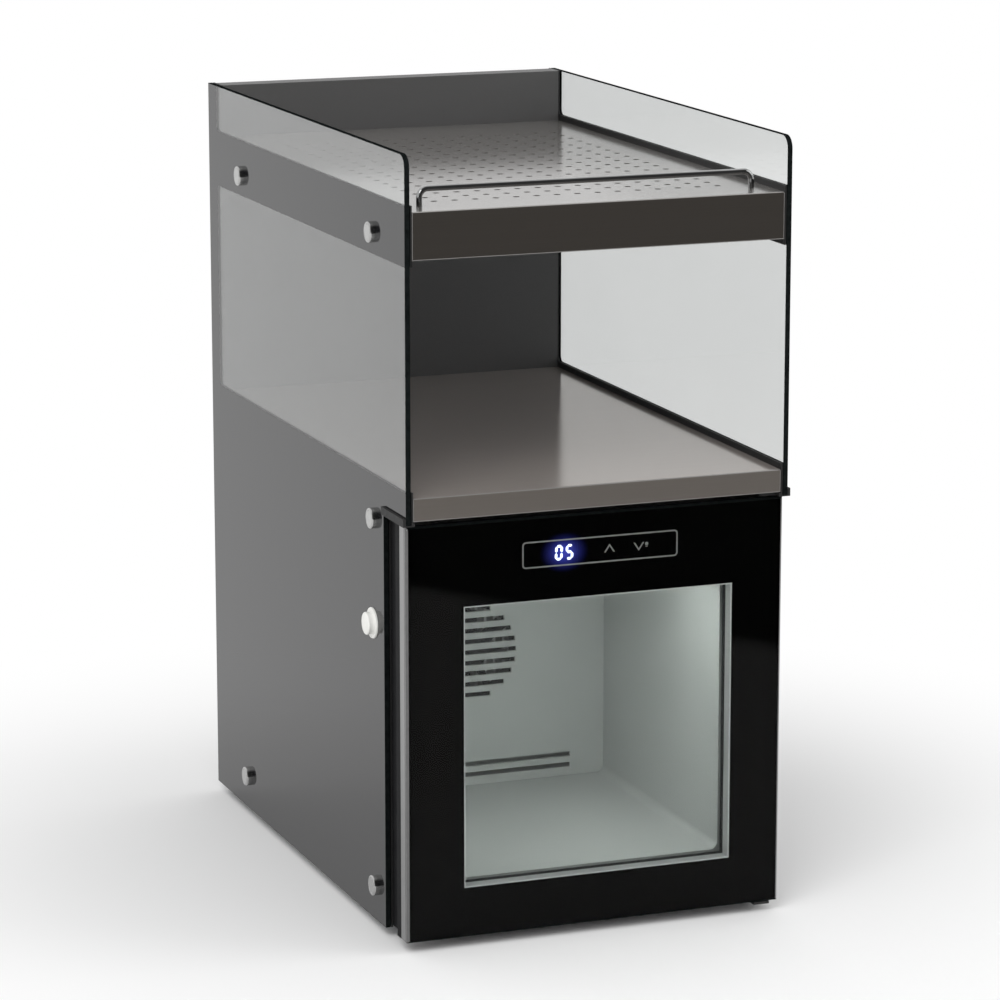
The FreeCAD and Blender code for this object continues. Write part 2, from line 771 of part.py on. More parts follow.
evaporator = round_edges(evaporator, liner_corner, lambda edge: (
    runs_along_y(edge)
    and abs(abs(edge.CenterOfMass.x) - cover_x) < fit_gap
    and min(abs(edge.CenterOfMass.z - cover_bottom_z), abs(edge.CenterOfMass.z - cover_top_z)) < fit_gap))
save("evaporator_cover", evaporator)

cold_frame, cold_rotor = fan(cold_fan_size, cold_fan_depth, cold_fan_y, True)
save("cold_fan_frame", cold_frame)
save("cold_fan_rotor", cold_rotor)
cold_sink = heat_sink(
    cold_sink_size, cold_sink_y, chamber_back_y, cold_fin_y, cold_sink_y, cold_fin_pitch)
save("cold_sink", cold_sink)
cold_block = box(-block_half, block_half, chamber_back_y, peltier_y, block_bottom_z, block_top_z)
save("cold_block", cold_block)
module_half = peltier_size / 2
save("peltier_module", box(
    -module_half, module_half, peltier_y, insulation_back_y, unit_z - module_half, unit_z + module_half))
hot_sink = heat_sink(
    hot_sink_size, insulation_back_y, hot_fin_y, hot_fin_y, hot_fan_y, hot_fin_pitch)
save("hot_sink", hot_sink)
hot_frame, hot_rotor = fan(hot_fan_size, hot_fan_depth, hot_fan_y, False)
save("hot_fan_frame", hot_frame)
save("hot_fan_rotor", hot_rotor)

# Power supply and control board on the casing's floor, midway between the foam and the back
rear_middle_y = (insulation_back_y + casing_back_y) / 2
supply_x1 = -supply_side_gap
supply = box(
    supply_x1 - supply_width, supply_x1, rear_middle_y - supply_depth / 2, rear_middle_y + supply_depth / 2,
    casing_in_bottom_z, casing_in_bottom_z + supply_height)
save("power_supply", supply)

board_x0 = supply_side_gap
board_y0 = rear_middle_y - board_depth / 2
board_y1 = rear_middle_y + board_depth / 2
board_z = casing_in_bottom_z + board_post_height
board = box(board_x0, board_x0 + board_width, board_y0, board_y1, board_z, board_z + board_thickness)
board_pieces = [board]
for x in (board_x0 + board_post_inset, board_x0 + board_width - board_post_inset):
    for y in (board_y0 + board_post_inset, board_y1 - board_post_inset):
        board_pieces.append(rod_z(board_post_radius, x, y, casing_in_bottom_z, board_z))
relay_z = board_z + board_thickness
for i in range(2):
    x = board_x0 + 2 * board_post_inset + i * (relay_width + board_post_inset)
    y = board_y0 + 2 * board_post_inset
    board_pieces.append(box(x, x + relay_width, y, y + relay_depth, relay_z, relay_z + relay_height))
save("control_board", fuse_all(board_pieces))

# Rear column: folded sheet channel from the base to the top of the glass, open behind
return_y = cover_front_y - sheet
column_in_top_z = top_z - sheet
return_x = inside_x - column_return
column_window_x = inside_x - column_window_margin
column = cut_all(box(-inside_x, inside_x, column_y, cover_back_y, casing_bottom_z, top_z), [
    box(-casing_in_x, casing_in_x, column_y + sheet, return_y, casing_bottom_z, column_in_top_z),
    box(-return_x, return_x, return_y, cover_front_y, casing_bottom_z, top_z - column_return),
    box(-casing_in_x, casing_in_x, cover_front_y, cover_back_y, casing_bottom_z, column_in_top_z),
    box(-column_window_x, column_window_x, column_y, column_y + sheet,
        casing_in_bottom_z, casing_top_z - column_window_margin),
])

# Rear cover inside the column: fan grille, louvres and the mains inlet's cut-out
cover_half = casing_in_x - fit_gap
cover_bottom = casing_bottom_z + fit_gap
cover_top = top_z - sheet - fit_gap
rear_cover = box(-cover_half, cover_half, cover_front_y, cover_back_y, cover_bottom, cover_top)
grille_cuts = []
grille_radius = hot_fan_size / 2 - grille_margin
grille_count = int((2 * grille_radius - grille_slot) / grille_pitch) + 1
for i in range(grille_count):
    z = unit_z + (i - (grille_count - 1) / 2) * grille_pitch
    reach = math.sqrt(max(grille_radius ** 2 - (z - unit_z) ** 2, grille_pitch ** 2))
    for side in (-1, 1):
        near, far = sorted((side * grille_margin, side * reach))
        slot = box(near, far, cover_front_y, cover_back_y, z - grille_slot / 2, z + grille_slot / 2)
        grille_cuts.append(slot)
for i in range(louvre_count):
    z = base_z + louvre_bottom_height + i * louvre_pitch
    for side in (-1, 1):
        near, far = sorted((side * grille_pitch, side * louvre_width))
        slot = box(near, far, cover_front_y, cover_back_y, z, z + louvre_height)
        grille_cuts.append(slot)
inlet_centre_x = inlet_side_inset - half_width
inlet_z = base_z + inlet_centre_height
inlet_half_width = inlet_width / 2
inlet_half_height = inlet_height / 2
inlet_outline = (
    inlet_centre_x - inlet_half_width, inlet_centre_x + inlet_half_width,
    inlet_z - inlet_half_height, inlet_z + inlet_half_height)
ix0, ix1, iz0, iz1 = grown(inlet_outline, fit_gap)
grille_cuts.append(box(ix0, ix1, cover_front_y, cover_back_y, iz0, iz1))

# Screws that hold the rear cover on the column's returns
cover_screw_x = inside_x - column_return / 2
cover_screw_places = []
screw_span = cover_top - cover_bottom - 2 * cover_screw_margin
for i in range(cover_screw_rows):
    z = cover_bottom + cover_screw_margin + i * screw_span / (cover_screw_rows - 1)
    cover_screw_places += [(-cover_screw_x, z), (cover_screw_x, z)]
cover_screw_tip_y = cover_back_y - cover_screw_length
cover_screw_hole_radius = cover_screw_radius + screw_gap
cover_screw_holes = [
    rod_y(cover_screw_hole_radius, x, cover_screw_tip_y, cover_back_y, z) for x, z in cover_screw_places
]
cover_screw_solids = []
for x, z in cover_screw_places:
    head = rod_y(cover_screw_head_radius, x, cover_back_y, cover_back_y + cover_screw_head, z)
    shank = rod_y(cover_screw_radius, x, cover_screw_tip_y, cover_back_y, z)
    cover_screw_solids.append(head.fuse(shank).removeSplitter())
save("rear_screws", *cover_screw_solids)
save("rear_column", cut_all(column, cover_screw_holes))
save("rear_cover", cut_all(rear_cover, grille_cuts + cover_screw_holes))

# Mains inlet with its three contact pins, set in the rear cover
inlet_front_y = cover_back_y - inlet_depth
flange = grown(inlet_outline, inlet_flange)
inlet_body = box(ix0 + fit_gap, ix1 - fit_gap, inlet_front_y, cover_back_y, iz0 + fit_gap, iz1 - fit_gap)
inlet_flange_solid = box(
    flange[0], flange[1], cover_back_y, cover_back_y + inlet_flange_thickness, flange[2], flange[3])
socket = grown(inlet_outline, -inlet_wall)
pin_y0 = inlet_front_y + inlet_floor
inlet_face_y = cover_back_y + inlet_flange_thickness
inlet_socket = box(socket[0], socket[1], pin_y0, inlet_face_y, socket[2], socket[3])
inlet = inlet_body.fuse(inlet_flange_solid).removeSplitter().cut(inlet_socket)
pins = []
for side in (-1, 0, 1):
    pin_x = inlet_centre_x + side * inlet_pin_spread
    pin_z = inlet_z + (inlet_pin_offset if side == 0 else -inlet_pin_offset)
    pins.append(box(
        pin_x - inlet_pin_width / 2, pin_x + inlet_pin_width / 2, pin_y0, pin_y0 + inlet_pin_length,
        pin_z - inlet_pin_height / 2, pin_z + inlet_pin_height / 2))
save("power_inlet", inlet)
save("inlet_pins", *pins)


# Shelf tray: folded polished sheet with a deep front lip, open below
def shelf_tray(top, bottom):
    tray = box(-inside_x, inside_x, tray_front_y, tray_back_y, bottom, top)
    tray = round_edges(tray, tray_bend, lambda edge: (
        abs(edge.CenterOfMass.z - top) < fit_gap and abs(edge.CenterOfMass.y - tray_front_y) < fit_gap))
    inner = box(
        -inside_x + sheet, inside_x - sheet, tray_front_y + sheet, tray_back_y - sheet, bottom, top - sheet)
    inner = round_edges(inner, max(tray_bend - sheet, fit_gap), lambda edge: (
        abs(edge.CenterOfMass.z - top + sheet) < fit_gap
        and abs(edge.CenterOfMass.y - tray_front_y - sheet) < fit_gap))
    return tray.cut(inner)


mat_half = inside_x - mat_side_margin
mat_front_y = front_y + mat_front_margin
mat_back_y = tray_back_y - mat_back_margin
save("lower_tray", shelf_tray(lower_top_z, lower_lip_z))

# Lower tray's board on the casing and heater mat on the board
lower_mat_z = lower_top_z - sheet - mat_thickness
shelf_board = box(
    -inside_x + sheet + fit_gap, inside_x - sheet - fit_gap, casing_front_y, tray_back_y - sheet - fit_gap,
    casing_top_z, lower_mat_z)
hinge_clear = box(
    hinge_plate_x0 - fit_gap, half_width, casing_front_y, hinge_plate_y1 + fit_gap, casing_top_z, lower_mat_z)
save("shelf_board", shelf_board.cut(hinge_clear))
save("lower_heater_mat", box(
    -mat_half, mat_half, casing_front_y, mat_back_y, lower_mat_z, lower_top_z - sheet))

# Upper tray, drilled for warm air and for the gallery rail, with its heater and base pan
rail_half = inside_x - rail_side_inset
rail_y = front_y + rail_setback
tray_holes = []
for column_index in range(tray_hole_columns):
    x = (column_index - (tray_hole_columns - 1) / 2) * tray_hole_pitch_x
    for row in range(tray_hole_rows):
        y = front_y + tray_hole_front + row * tray_hole_pitch_y
        tray_holes.append(rod_z(tray_hole_radius, x, y, upper_top_z - sheet, upper_top_z))
rail_hole_radius = rail_radius + screw_gap
for side in (-1, 1):
    tray_holes.append(rod_z(rail_hole_radius, side * rail_half, rail_y, upper_top_z - sheet, upper_top_z))
upper_tray = cut_all(shelf_tray(upper_top_z, upper_lip_z), tray_holes + cap_tips)
save("upper_tray", upper_tray)

upper_mat_z = upper_top_z - sheet - mat_thickness
save("upper_heater_mat", box(-mat_half, mat_half, mat_front_y, mat_back_y, upper_mat_z, upper_top_z - sheet))
thermostat_y = (mat_front_y + mat_back_y) / 2
thermostat_z = upper_mat_z - thermostat_height
save("warmer_thermostat", rod_z(thermostat_radius, 0, thermostat_y, thermostat_z, upper_mat_z))

pan_x = inside_x - sheet - fit_gap
pan_y0 = tray_front_y + sheet + fit_gap
pan_y1 = tray_back_y - sheet - fit_gap
pan = box(-pan_x, pan_x, pan_y0, pan_y1, upper_lip_z, upper_lip_z + tray_base_upstand)
pan = pan.cut(box(
    -pan_x + sheet, pan_x - sheet, pan_y0 + sheet, pan_y1 - sheet,
    upper_lip_z + sheet, upper_lip_z + tray_base_upstand))
save("upper_tray_base", pan)

# Gallery rail: one bent polished rod, nutted under the upper tray
rail_top_z = upper_top_z + rail_rise
rail_foot_z = upper_top_z - sheet - rail_tail
bend_in = rail_bend * (1 - math.sqrt(0.5))


def rail_point(x, z):
    return Vector(x, rail_y, z)


left_foot = rail_point(-rail_half, rail_foot_z)
left_low = rail_point(-rail_half, rail_top_z - rail_bend)
left_middle = rail_point(-rail_half + bend_in, rail_top_z - bend_in)
left_high = rail_point(-rail_half + rail_bend, rail_top_z)
right_high = rail_point(rail_half - rail_bend, rail_top_z)
right_middle = rail_point(rail_half - bend_in, rail_top_z - bend_in)
right_low = rail_point(rail_half, rail_top_z - rail_bend)
right_foot = rail_point(rail_half, rail_foot_z)
rail_path = Part.Wire([
    Part.LineSegment(left_foot, left_low).toShape(),
    Part.Arc(left_low, left_middle, left_high).toShape(),
    Part.LineSegment(left_high, right_high).toShape(),
    Part.Arc(right_high, right_middle, right_low).toShape(),
    Part.LineSegment(right_low, right_foot).toShape(),
])
rail_section = Part.Wire([Part.makeCircle(rail_radius, left_foot, Vector(0, 0, 1))])
save("gallery_rail", rail_path.makePipeShell([rail_section], True, False))
rail_nuts = []
nut_top_z = upper_top_z - sheet
nut_bottom_z = nut_top_z - rail_nut_height
for side in (-1, 1):
    nut = rod_z(rail_nut_radius, side * rail_half, rail_y, nut_bottom_z, nut_top_z)
    rail_nuts.append(nut.cut(rod_z(rail_hole_radius, side * rail_half, rail_y, nut_bottom_z, nut_top_z)))
save("rail_nuts", *rail_nuts)

# Door, front to back: glass, printed mask, aluminium frame, spacer, back frame, inner pane, seal
door_sheet = box(-door_half, door_half, door_front_y, door_mask_y, door_bottom_z, door_top_z)
door_sheet = door_sheet.makeChamfer(door_glass_edge, [
    edge for edge in door_sheet.Edges if abs(edge.CenterOfMass.y - door_front_y) < straight])
save("door_glass", door_sheet)
digit_x0 = display_left_x + digit_left
digit_z0 = (display_bottom_z + display_top_z - digit_height) / 2
digits = (digit_x0, digit_x0 + digit_width, digit_z0, digit_z0 + digit_height)
mask = ring(door_outline, window, door_mask_y, door_frame_y)
save("door_mask", mask.cut(box(digits[0], digits[1], door_mask_y, door_frame_y, digits[2], digits[3])))

bush_holes = [
    rod_z(bush_radius + screw_gap, hinge_x, hinge_y, door_top_z - hinge_bush_length, door_top_z),
    rod_z(bush_radius + screw_gap, hinge_x, hinge_y, door_bottom_z, door_bottom_z + hinge_bush_length),
]
door_frame = ring(door_outline, grown(door_outline, -door_frame_width), door_frame_y, door_back_frame_y)
save("door_frame", cut_all(door_frame, bush_holes))
pin_clear_radius = hinge_pin_radius + hinge_pin_gap
bushes = []
for z in (door_top_z - hinge_bush_length, door_bottom_z):
    bush = rod_z(bush_radius, hinge_x, hinge_y, z, z + hinge_bush_length)
    bushes.append(bush.cut(rod_z(pin_clear_radius, hinge_x, hinge_y, z, z + hinge_bush_length)))
save("hinge_bushes", *bushes)

spacer_inside = grown(window, -spacer_reveal)
spacer_outside = grown(spacer_inside, spacer_width)
save("glazing_spacer", ring(spacer_outside, spacer_inside, door_frame_y, door_back_frame_y))
pane = grown(window, pane_overlap)
pane_back_y = door_back_frame_y + pane_thickness
save("inner_pane", box(pane[0], pane[1], door_back_frame_y, pane_back_y, pane[2], pane[3]))
back_frame = ring(door_outline, window, door_back_frame_y, door_back_y)
seat = grown(pane, fit_gap)
back_frame = back_frame.cut(box(seat[0], seat[1], door_back_frame_y, pane_back_y, seat[2], seat[3]))
board_back_y = display_board_y + display_board_thickness
board_outline = grown(display_outline, display_margin)
posts = []
for x in (board_outline[0] + display_post_inset, board_outline[1] - display_post_inset):
    for z in (board_outline[2] + display_post_inset, board_outline[3] - display_post_inset):
        posts.append(rod_y(display_post_radius, x, board_back_y, door_back_frame_y, z))
save("door_back_frame", fuse_all([back_frame] + posts))

save("display_board", box(
    board_outline[0], board_outline[1], display_board_y, board_back_y, board_outline[2], board_outline[3]))
save("display_module", box(
    digits[0], digits[1], display_board_y - display_module_depth, display_board_y, digits[2], digits[3]))

seal_outline = grown(door_outline, -gasket_inset)
seal_inside = grown(seal_outline, -gasket_width)
seal_groove = ring(
    grown(seal_outline, -gasket_lip), seal_inside, door_back_y + gasket_lip, gasket_back_y - gasket_lip)
save("door_gasket", ring(seal_outline, seal_inside, door_back_y, gasket_back_y).cut(seal_groove))
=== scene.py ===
import math

import bmesh
import bpy
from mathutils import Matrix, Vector


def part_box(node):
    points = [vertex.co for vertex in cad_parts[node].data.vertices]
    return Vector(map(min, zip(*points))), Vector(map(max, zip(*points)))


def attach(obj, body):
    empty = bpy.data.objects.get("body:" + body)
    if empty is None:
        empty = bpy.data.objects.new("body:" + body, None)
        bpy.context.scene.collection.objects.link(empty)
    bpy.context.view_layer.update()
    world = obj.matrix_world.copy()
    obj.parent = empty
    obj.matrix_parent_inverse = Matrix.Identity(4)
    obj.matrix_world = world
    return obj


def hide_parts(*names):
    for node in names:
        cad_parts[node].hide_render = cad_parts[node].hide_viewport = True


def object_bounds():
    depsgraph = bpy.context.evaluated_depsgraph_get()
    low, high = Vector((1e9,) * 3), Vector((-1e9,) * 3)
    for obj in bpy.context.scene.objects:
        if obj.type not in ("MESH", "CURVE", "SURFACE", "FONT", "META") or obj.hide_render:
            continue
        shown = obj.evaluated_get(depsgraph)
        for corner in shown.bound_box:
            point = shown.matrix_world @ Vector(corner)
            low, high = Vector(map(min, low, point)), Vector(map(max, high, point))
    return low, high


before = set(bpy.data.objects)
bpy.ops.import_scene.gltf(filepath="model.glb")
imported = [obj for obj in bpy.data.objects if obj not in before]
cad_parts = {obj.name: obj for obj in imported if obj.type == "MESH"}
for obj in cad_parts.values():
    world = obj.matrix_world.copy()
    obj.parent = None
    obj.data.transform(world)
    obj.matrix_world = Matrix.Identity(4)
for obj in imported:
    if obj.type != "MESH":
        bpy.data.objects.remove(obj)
cad_low, cad_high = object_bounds()

# Base plate, casing and upper tray's pan
# Flat and folded zinc-coated sheets: the floor of the cabinet, the box round the foam, and the pan
# that closes the upper tray from below. The zinc shows a faint spangle where it froze on the steel.
mm = 0.001
zinc_dark = (0.36, 0.37, 0.38)
zinc_light = (0.50, 0.51, 0.52)
spangle_scale = 160.0
spangle_from = 0.1
spangle_to = 0.9
noise_low = 0.3
noise_high = 0.7


def shader_of(material):
    return material.node_tree.nodes["Principled BSDF"]


def set_shader(material, values):
    for socket_name, value in values.items():
        shader_of(material).inputs[socket_name].default_value = value


def new_finish(name, colour, metallic=0.0, roughness=0.5):
    material = bpy.data.materials.new(name)
    material.use_nodes = True
    set_shader(material, {"Base Color": (*colour, 1.0), "Metallic": metallic, "Roughness": roughness})
    return material


def add_node(owner, kind, values, **settings):
    # A node in the tree of a material, the world or a modifier. Its inputs, by name or number, take
    # plain values or the outputs of other nodes.
    tree = getattr(owner, "node_tree", owner)
    node = tree.nodes.new(kind)
    for setting, value in settings.items():
        setattr(node, setting, value)
    for socket, value in values.items():
        if isinstance(value, bpy.types.NodeSocket):
            tree.links.new(value, node.inputs[socket])
        else:
            node.inputs[socket].default_value = value
    return node


def feed(material, socket_name, output):
    # Lets a node's output drive one input of the material's shader.
    material.node_tree.links.new(output, shader_of(material).inputs[socket_name])


def own_place(material):
    # The piece's own coordinates in metres.
    return add_node(material, "ShaderNodeTexCoord", {}).outputs["Object"]


def grain(material, scale, stretch=(1.0, 1.0, 1.0), detail=4.0):
    # Fine noise. A small stretch draws it out along that axis.
    drawn = add_node(material, "ShaderNodeMapping", {"Vector": own_place(material), "Scale": stretch})
    values = {"Vector": drawn.outputs["Vector"], "Scale": scale, "Detail": detail}
    return add_node(material, "ShaderNodeTexNoise", values).outputs["Fac"]


def cells(material, scale, **settings):
    values = {"Vector": own_place(material), "Scale": scale}
    return add_node(material, "ShaderNodeTexVoronoi", values, **settings)


def two_tone(material, factor, dark, light, start=noise_low, end=noise_high):
    ramp = add_node(material, "ShaderNodeValToRGB", {"Fac": factor})
    for element, position, colour in zip(ramp.color_ramp.elements, (start, end), (dark, light)):
        element.position = position
        element.color = (*colour, 1.0)
    return ramp.outputs["Color"]


def spread(owner, value, start, end, first=0.0, last=1.0, **settings):
    # Carries the range from start to end over to the range from first to last.
    values = {"Value": value, "From Min": start, "From Max": end, "To Min": first, "To Max": last}
    return add_node(owner, "ShaderNodeMapRange", values, **settings).outputs["Result"]


def vary_gloss(material, factor, smooth, rough):
    feed(material, "Roughness", spread(material, factor, noise_low, noise_high, smooth, rough))


def dress(material, *names):
    for name in names:
        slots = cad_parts[name].data.materials
        slots.clear()
        slots.append(material)


zinc_sheet = new_finish("zinc_sheet", zinc_light, metallic=1.0)
spangle = cells(zinc_sheet, spangle_scale).outputs["Color"]
spangle_tone = two_tone(zinc_sheet, spangle, zinc_dark, zinc_light, spangle_from, spangle_to)
feed(zinc_sheet, "Base Color", spangle_tone)
vary_gloss(zinc_sheet, grain(zinc_sheet, scale=40.0), smooth=0.32, rough=0.48)
dress(zinc_sheet, "base_plate", "outer_casing", "upper_tray_base")

# Rubber feet
# Four moulded rubber discs with a rounded rim and a recess for the screw, one near each corner.
# The rubber is matt black with a fine moulded grain.
rubber_dark = (0.010, 0.010, 0.010)
rubber_light = (0.020, 0.020, 0.020)
foot_rim = 1.5 * mm
foot_recess_radius = 5.1 * mm
foot_recess_depth = 4.0 * mm
screw_head_radius = 5.0 * mm
turned_segments = 48
arc_steps = 5


def emboss(material, height, depth):
    bump = add_node(material, "ShaderNodeBump", {"Height": height, "Distance": depth})
    feed(material, "Normal", bump.outputs["Normal"])


def mottled(name, dark, light, scale, metallic=0.0, roughness=0.5, gloss=None, relief=0.0, **pattern):
    # A finish that wanders between two tones. The same grain may vary its gloss and raise its skin.
    material = new_finish(name, light, metallic, roughness)
    specks = grain(material, scale, **pattern)
    feed(material, "Base Color", two_tone(material, specks, dark, light))
    if gloss:
        vary_gloss(material, specks, *gloss)
    if relief:
        emboss(material, specks, relief)
    return material


def arc(centre_radius, centre_height, radius, start_degrees, end_degrees):
    # Points (radius, height) of a quarter-round in a turned profile.
    points = []
    for i in range(arc_steps + 1):
        angle = math.radians(start_degrees + (end_degrees - start_degrees) * i / arc_steps)
        point = (centre_radius + radius * math.cos(angle), centre_height + radius * math.sin(angle))
        points.append(point)
    return points


def as_object(name, bm):
    mesh = bpy.data.meshes.new(name)
    bm.to_mesh(mesh)
    bm.free()
    piece = bpy.data.objects.new(name, mesh)
    bpy.context.scene.collection.objects.link(piece)
    return piece


def soften(piece, degrees=35.0):
    # Smooth shading with sharp edges kept where faces meet at more than the angle.
    piece.data.shade_smooth()
    piece.data.set_sharp_from_angle(angle=math.radians(degrees))


def turned(name, profile):
    # A shape turned about Z from a profile of (radius, height) that starts and ends on the axis.
    bm = bmesh.new()
    rings = []
    for radius, height in profile:
        count = turned_segments if radius > 0 else 1
        angles = [2 * math.pi * i / count for i in range(count)]
        rings.append([bm.verts.new((radius * math.cos(a), radius * math.sin(a), height)) for a in angles])
    for lower, upper in zip(rings, rings[1:]):
        for i in range(turned_segments):
            corners = [lower[i % len(lower)], lower[(i + 1) % len(lower)]]
            corners += [upper[(i + 1) % len(upper)], upper[i % len(upper)]]
            bm.faces.new(list(dict.fromkeys(corners)))
    bmesh.ops.recalc_face_normals(bm, faces=bm.faces)
    piece = as_object(name, bm)
    soften(piece)
    return piece


def new_tree(name, kinds):
    # A tree for a modifier, with named inputs and one shape as its result.
    tree = bpy.data.node_groups.new(name, "GeometryNodeTree")
    for socket_name, kind in kinds.items():
        tree.interface.new_socket(socket_name, in_out="INPUT", socket_type="NodeSocket" + kind)
    tree.interface.new_socket("Result", in_out="OUTPUT", socket_type="NodeSocketGeometry")
    return tree, tree.nodes.new("NodeGroupInput").outputs


def close_tree(tree, shape, finish):
    # Makes plain mesh of the shape and gives it its finish.
    real = add_node(tree, "GeometryNodeRealizeInstances", {"Geometry": shape})
    values = {"Geometry": real.outputs["Geometry"], "Material": finish}
    finished = add_node(tree, "GeometryNodeSetMaterial", values)
    add_node(tree, "NodeGroupOutput", {"Result": finished.outputs["Geometry"]})


def copies_tree():
    # Stands a copy of one shape on each point, all turned alike, and makes one mesh of them.
    kinds = {
        "Places": "Geometry", "Shape": "Object", "Turn": "Vector", "Size": "Float", "Finish": "Material"}
    tree, given = new_tree("copies_on_points", kinds)
    points = add_node(tree, "GeometryNodeMeshToPoints", {"Mesh": given["Places"]})
    shape = add_node(tree, "GeometryNodeObjectInfo", {"Object": given["Shape"]})
    values = {
        "Points": points.outputs["Points"], "Instance": shape.outputs["Geometry"],
        "Rotation": given["Turn"], "Scale": given["Size"]}
    copies = add_node(tree, "GeometryNodeInstanceOnPoints", values)
    close_tree(tree, copies.outputs["Instances"], given["Finish"])
    return tree


def add_modifier(piece, tree, values):
    # The tree as a modifier, with its inputs set by the identifiers of their sockets.
    modifier = piece.modifiers.new(tree.name, "NODES")
    modifier.node_group = tree
    for item in tree.interface.items_tree:
        if item.in_out == "INPUT" and item.name in values:
            modifier[item.identifier] = values[item.name]


def settle(piece):
    # Turns the piece's modifiers into plain mesh.
    bpy.context.view_layer.update()
    graph = bpy.context.evaluated_depsgraph_get()
    mesh = bpy.data.meshes.new_from_object(piece.evaluated_get(graph))
    piece.modifiers.clear()
    piece.data = mesh
    mesh.name = piece.name


def set_out(name, shape, places, turn, finish):
    # One piece made of a copy of the shape at each place. The shape itself is used up.
    bm = bmesh.new()
    for place in places:
        bm.verts.new(place)
    piece = as_object(name, bm)
    add_modifier(piece, stand_copies, {"Shape": shape, "Turn": turn, "Size": 1.0, "Finish": finish})
    settle(piece)
    bpy.data.objects.remove(shape)
    return piece


def fit(piece, body, slot, *replaced):
    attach(piece, body)
    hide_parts(*replaced)


stand_copies = copies_tree()
moulded_rubber = mottled(
    "moulded_rubber", rubber_dark, rubber_light, scale=900.0, gloss=(0.55, 0.8), relief=0.05 * mm)
feet_low, feet_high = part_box("rubber_feet")
foot_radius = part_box("foot_screws")[0].x + screw_head_radius - feet_low.x
foot_height = feet_high.z - feet_low.z
foot_profile = [(0, foot_recess_depth), (foot_recess_radius, foot_recess_depth), (foot_recess_radius, 0)]
foot_profile += arc(foot_radius - foot_rim, foot_rim, foot_rim, -90, 0)
foot_profile += [(foot_radius, foot_height), (0, foot_height)]
foot_places = []
for x in (feet_low.x + foot_radius, feet_high.x - foot_radius):
    for y in (feet_low.y + foot_radius, feet_high.y - foot_radius):
        foot_places.append((x, y, 0))
feet = set_out("moulded_feet", turned("foot", foot_profile), foot_places, (0, 0, 0), moulded_rubber)
fit(feet, "cabinet", "black_rubber", "rubber_feet")

# Screws of the feet, hinges and rail
# Screws with flat heads hold the feet and the hinge plates, nuts hold the rail, and two pins carry the
# door. They are steel with a bright zinc plating, smooth and slightly stained.
plated_dark = (0.48, 0.48, 0.47)
plated_light = (0.62, 0.62, 0.62)
bright_zinc = mottled(
    "bright_zinc", plated_dark, plated_light, scale=350.0, metallic=1.0, gloss=(0.18, 0.34))
dress(bright_zinc, "foot_screws", "hinge_screws", "hinge_pins", "rail_nuts")

# Insulated body
# Polyurethane foam fills the space between the folded casing and the moulded chamber liner. It is cream
# with small cells. The board under the lower tray is dressed in black rubber, as painted shade for its
# front edge in the gap above the door.
foam_dark = (0.58, 0.48, 0.26)
foam_light = (0.74, 0.64, 0.40)
foam_cell_scale = 700.0
foam_cell_depth = 0.3 * mm
rigid_foam = mottled("rigid_foam", foam_dark, foam_light, scale=120.0, roughness=0.85)
emboss(rigid_foam, cells(rigid_foam, foam_cell_scale).outputs["Distance"], foam_cell_depth)
dress(rigid_foam, "foam_insulation")
# Black rubber on the board is painted shade for its front edge in the gap above the door.
dress(moulded_rubber, "shelf_board")

# Front collar and other black mouldings
# Injection-moulded black plastic with a fine spark-eroded grain: the collar that takes the door's
# seal, the door's back frame, both fans and the mains inlet.
plastic_dark = (0.008, 0.008, 0.009)
plastic_light = (0.013, 0.013, 0.014)
plastic_shine = 0.12
black_moulding = mottled("black_moulding", plastic_dark, plastic_light, scale=60.0)
set_shader(black_moulding, {"Specular IOR Level": plastic_shine})
moulded_grain = grain(black_moulding, scale=1400.0, detail=2.0)
vary_gloss(black_moulding, moulded_grain, smooth=0.62, rough=0.78)
emboss(black_moulding, moulded_grain, depth=0.04 * mm)
dress(black_moulding, "front_collar", "door_back_frame", "cold_fan_frame", "cold_fan_rotor")
dress(black_moulding, "hot_fan_frame", "hot_fan_rotor", "power_inlet")

# Chamber liner, its rear cover, lamp housing and hose sleeve
# Light grey plastic, smooth and washable, with a faint orange-peel skin. The liner is vacuum-formed as
# one deep tray, and the foam holds it from outside.
liner_dark = (0.50, 0.51, 0.505)
liner_light = (0.57, 0.58, 0.575)
liner_plastic = mottled("liner_plastic", liner_dark, liner_light, scale=9.0, gloss=(0.36, 0.42))
emboss(liner_plastic, grain(liner_plastic, scale=260.0, detail=2.0), depth=0.002 * mm)
dress(liner_plastic, "chamber_liner", "evaporator_cover", "lamp_housing", "hose_sleeve")

# Chamber lamp
# An opal strip in a housing under the front of the ceiling, with white light behind it.
# The lens's colour is painted a little lighter over each diode, as painted glow; its emission is even.
# A wave of scale 1 repeats at wave_pitch.
lamp_colour = (0.97, 1.0, 0.965)
lamp_strength = 26.0
lens_dark = (0.80, 0.84, 0.81)
lens_light = (0.90, 0.93, 0.91)
diode_pitch = 27.635 * mm
wave_pitch = math.pi / 10
opal_lens = new_finish("opal_lens", lens_light, roughness=0.4)
diode_values = {"Vector": own_place(opal_lens), "Scale": wave_pitch / diode_pitch, "Distortion": 0.0}
painted_diode_glow = add_node(opal_lens, "ShaderNodeTexWave", diode_values).outputs["Fac"]
feed(opal_lens, "Base Color", two_tone(opal_lens, painted_diode_glow, lens_dark, lens_light, start=0.0, end=1.0))
set_shader(opal_lens, {"Emission Color": (*lamp_colour, 1.0), "Emission Strength": lamp_strength})
dress(opal_lens, "lamp_diffuser")

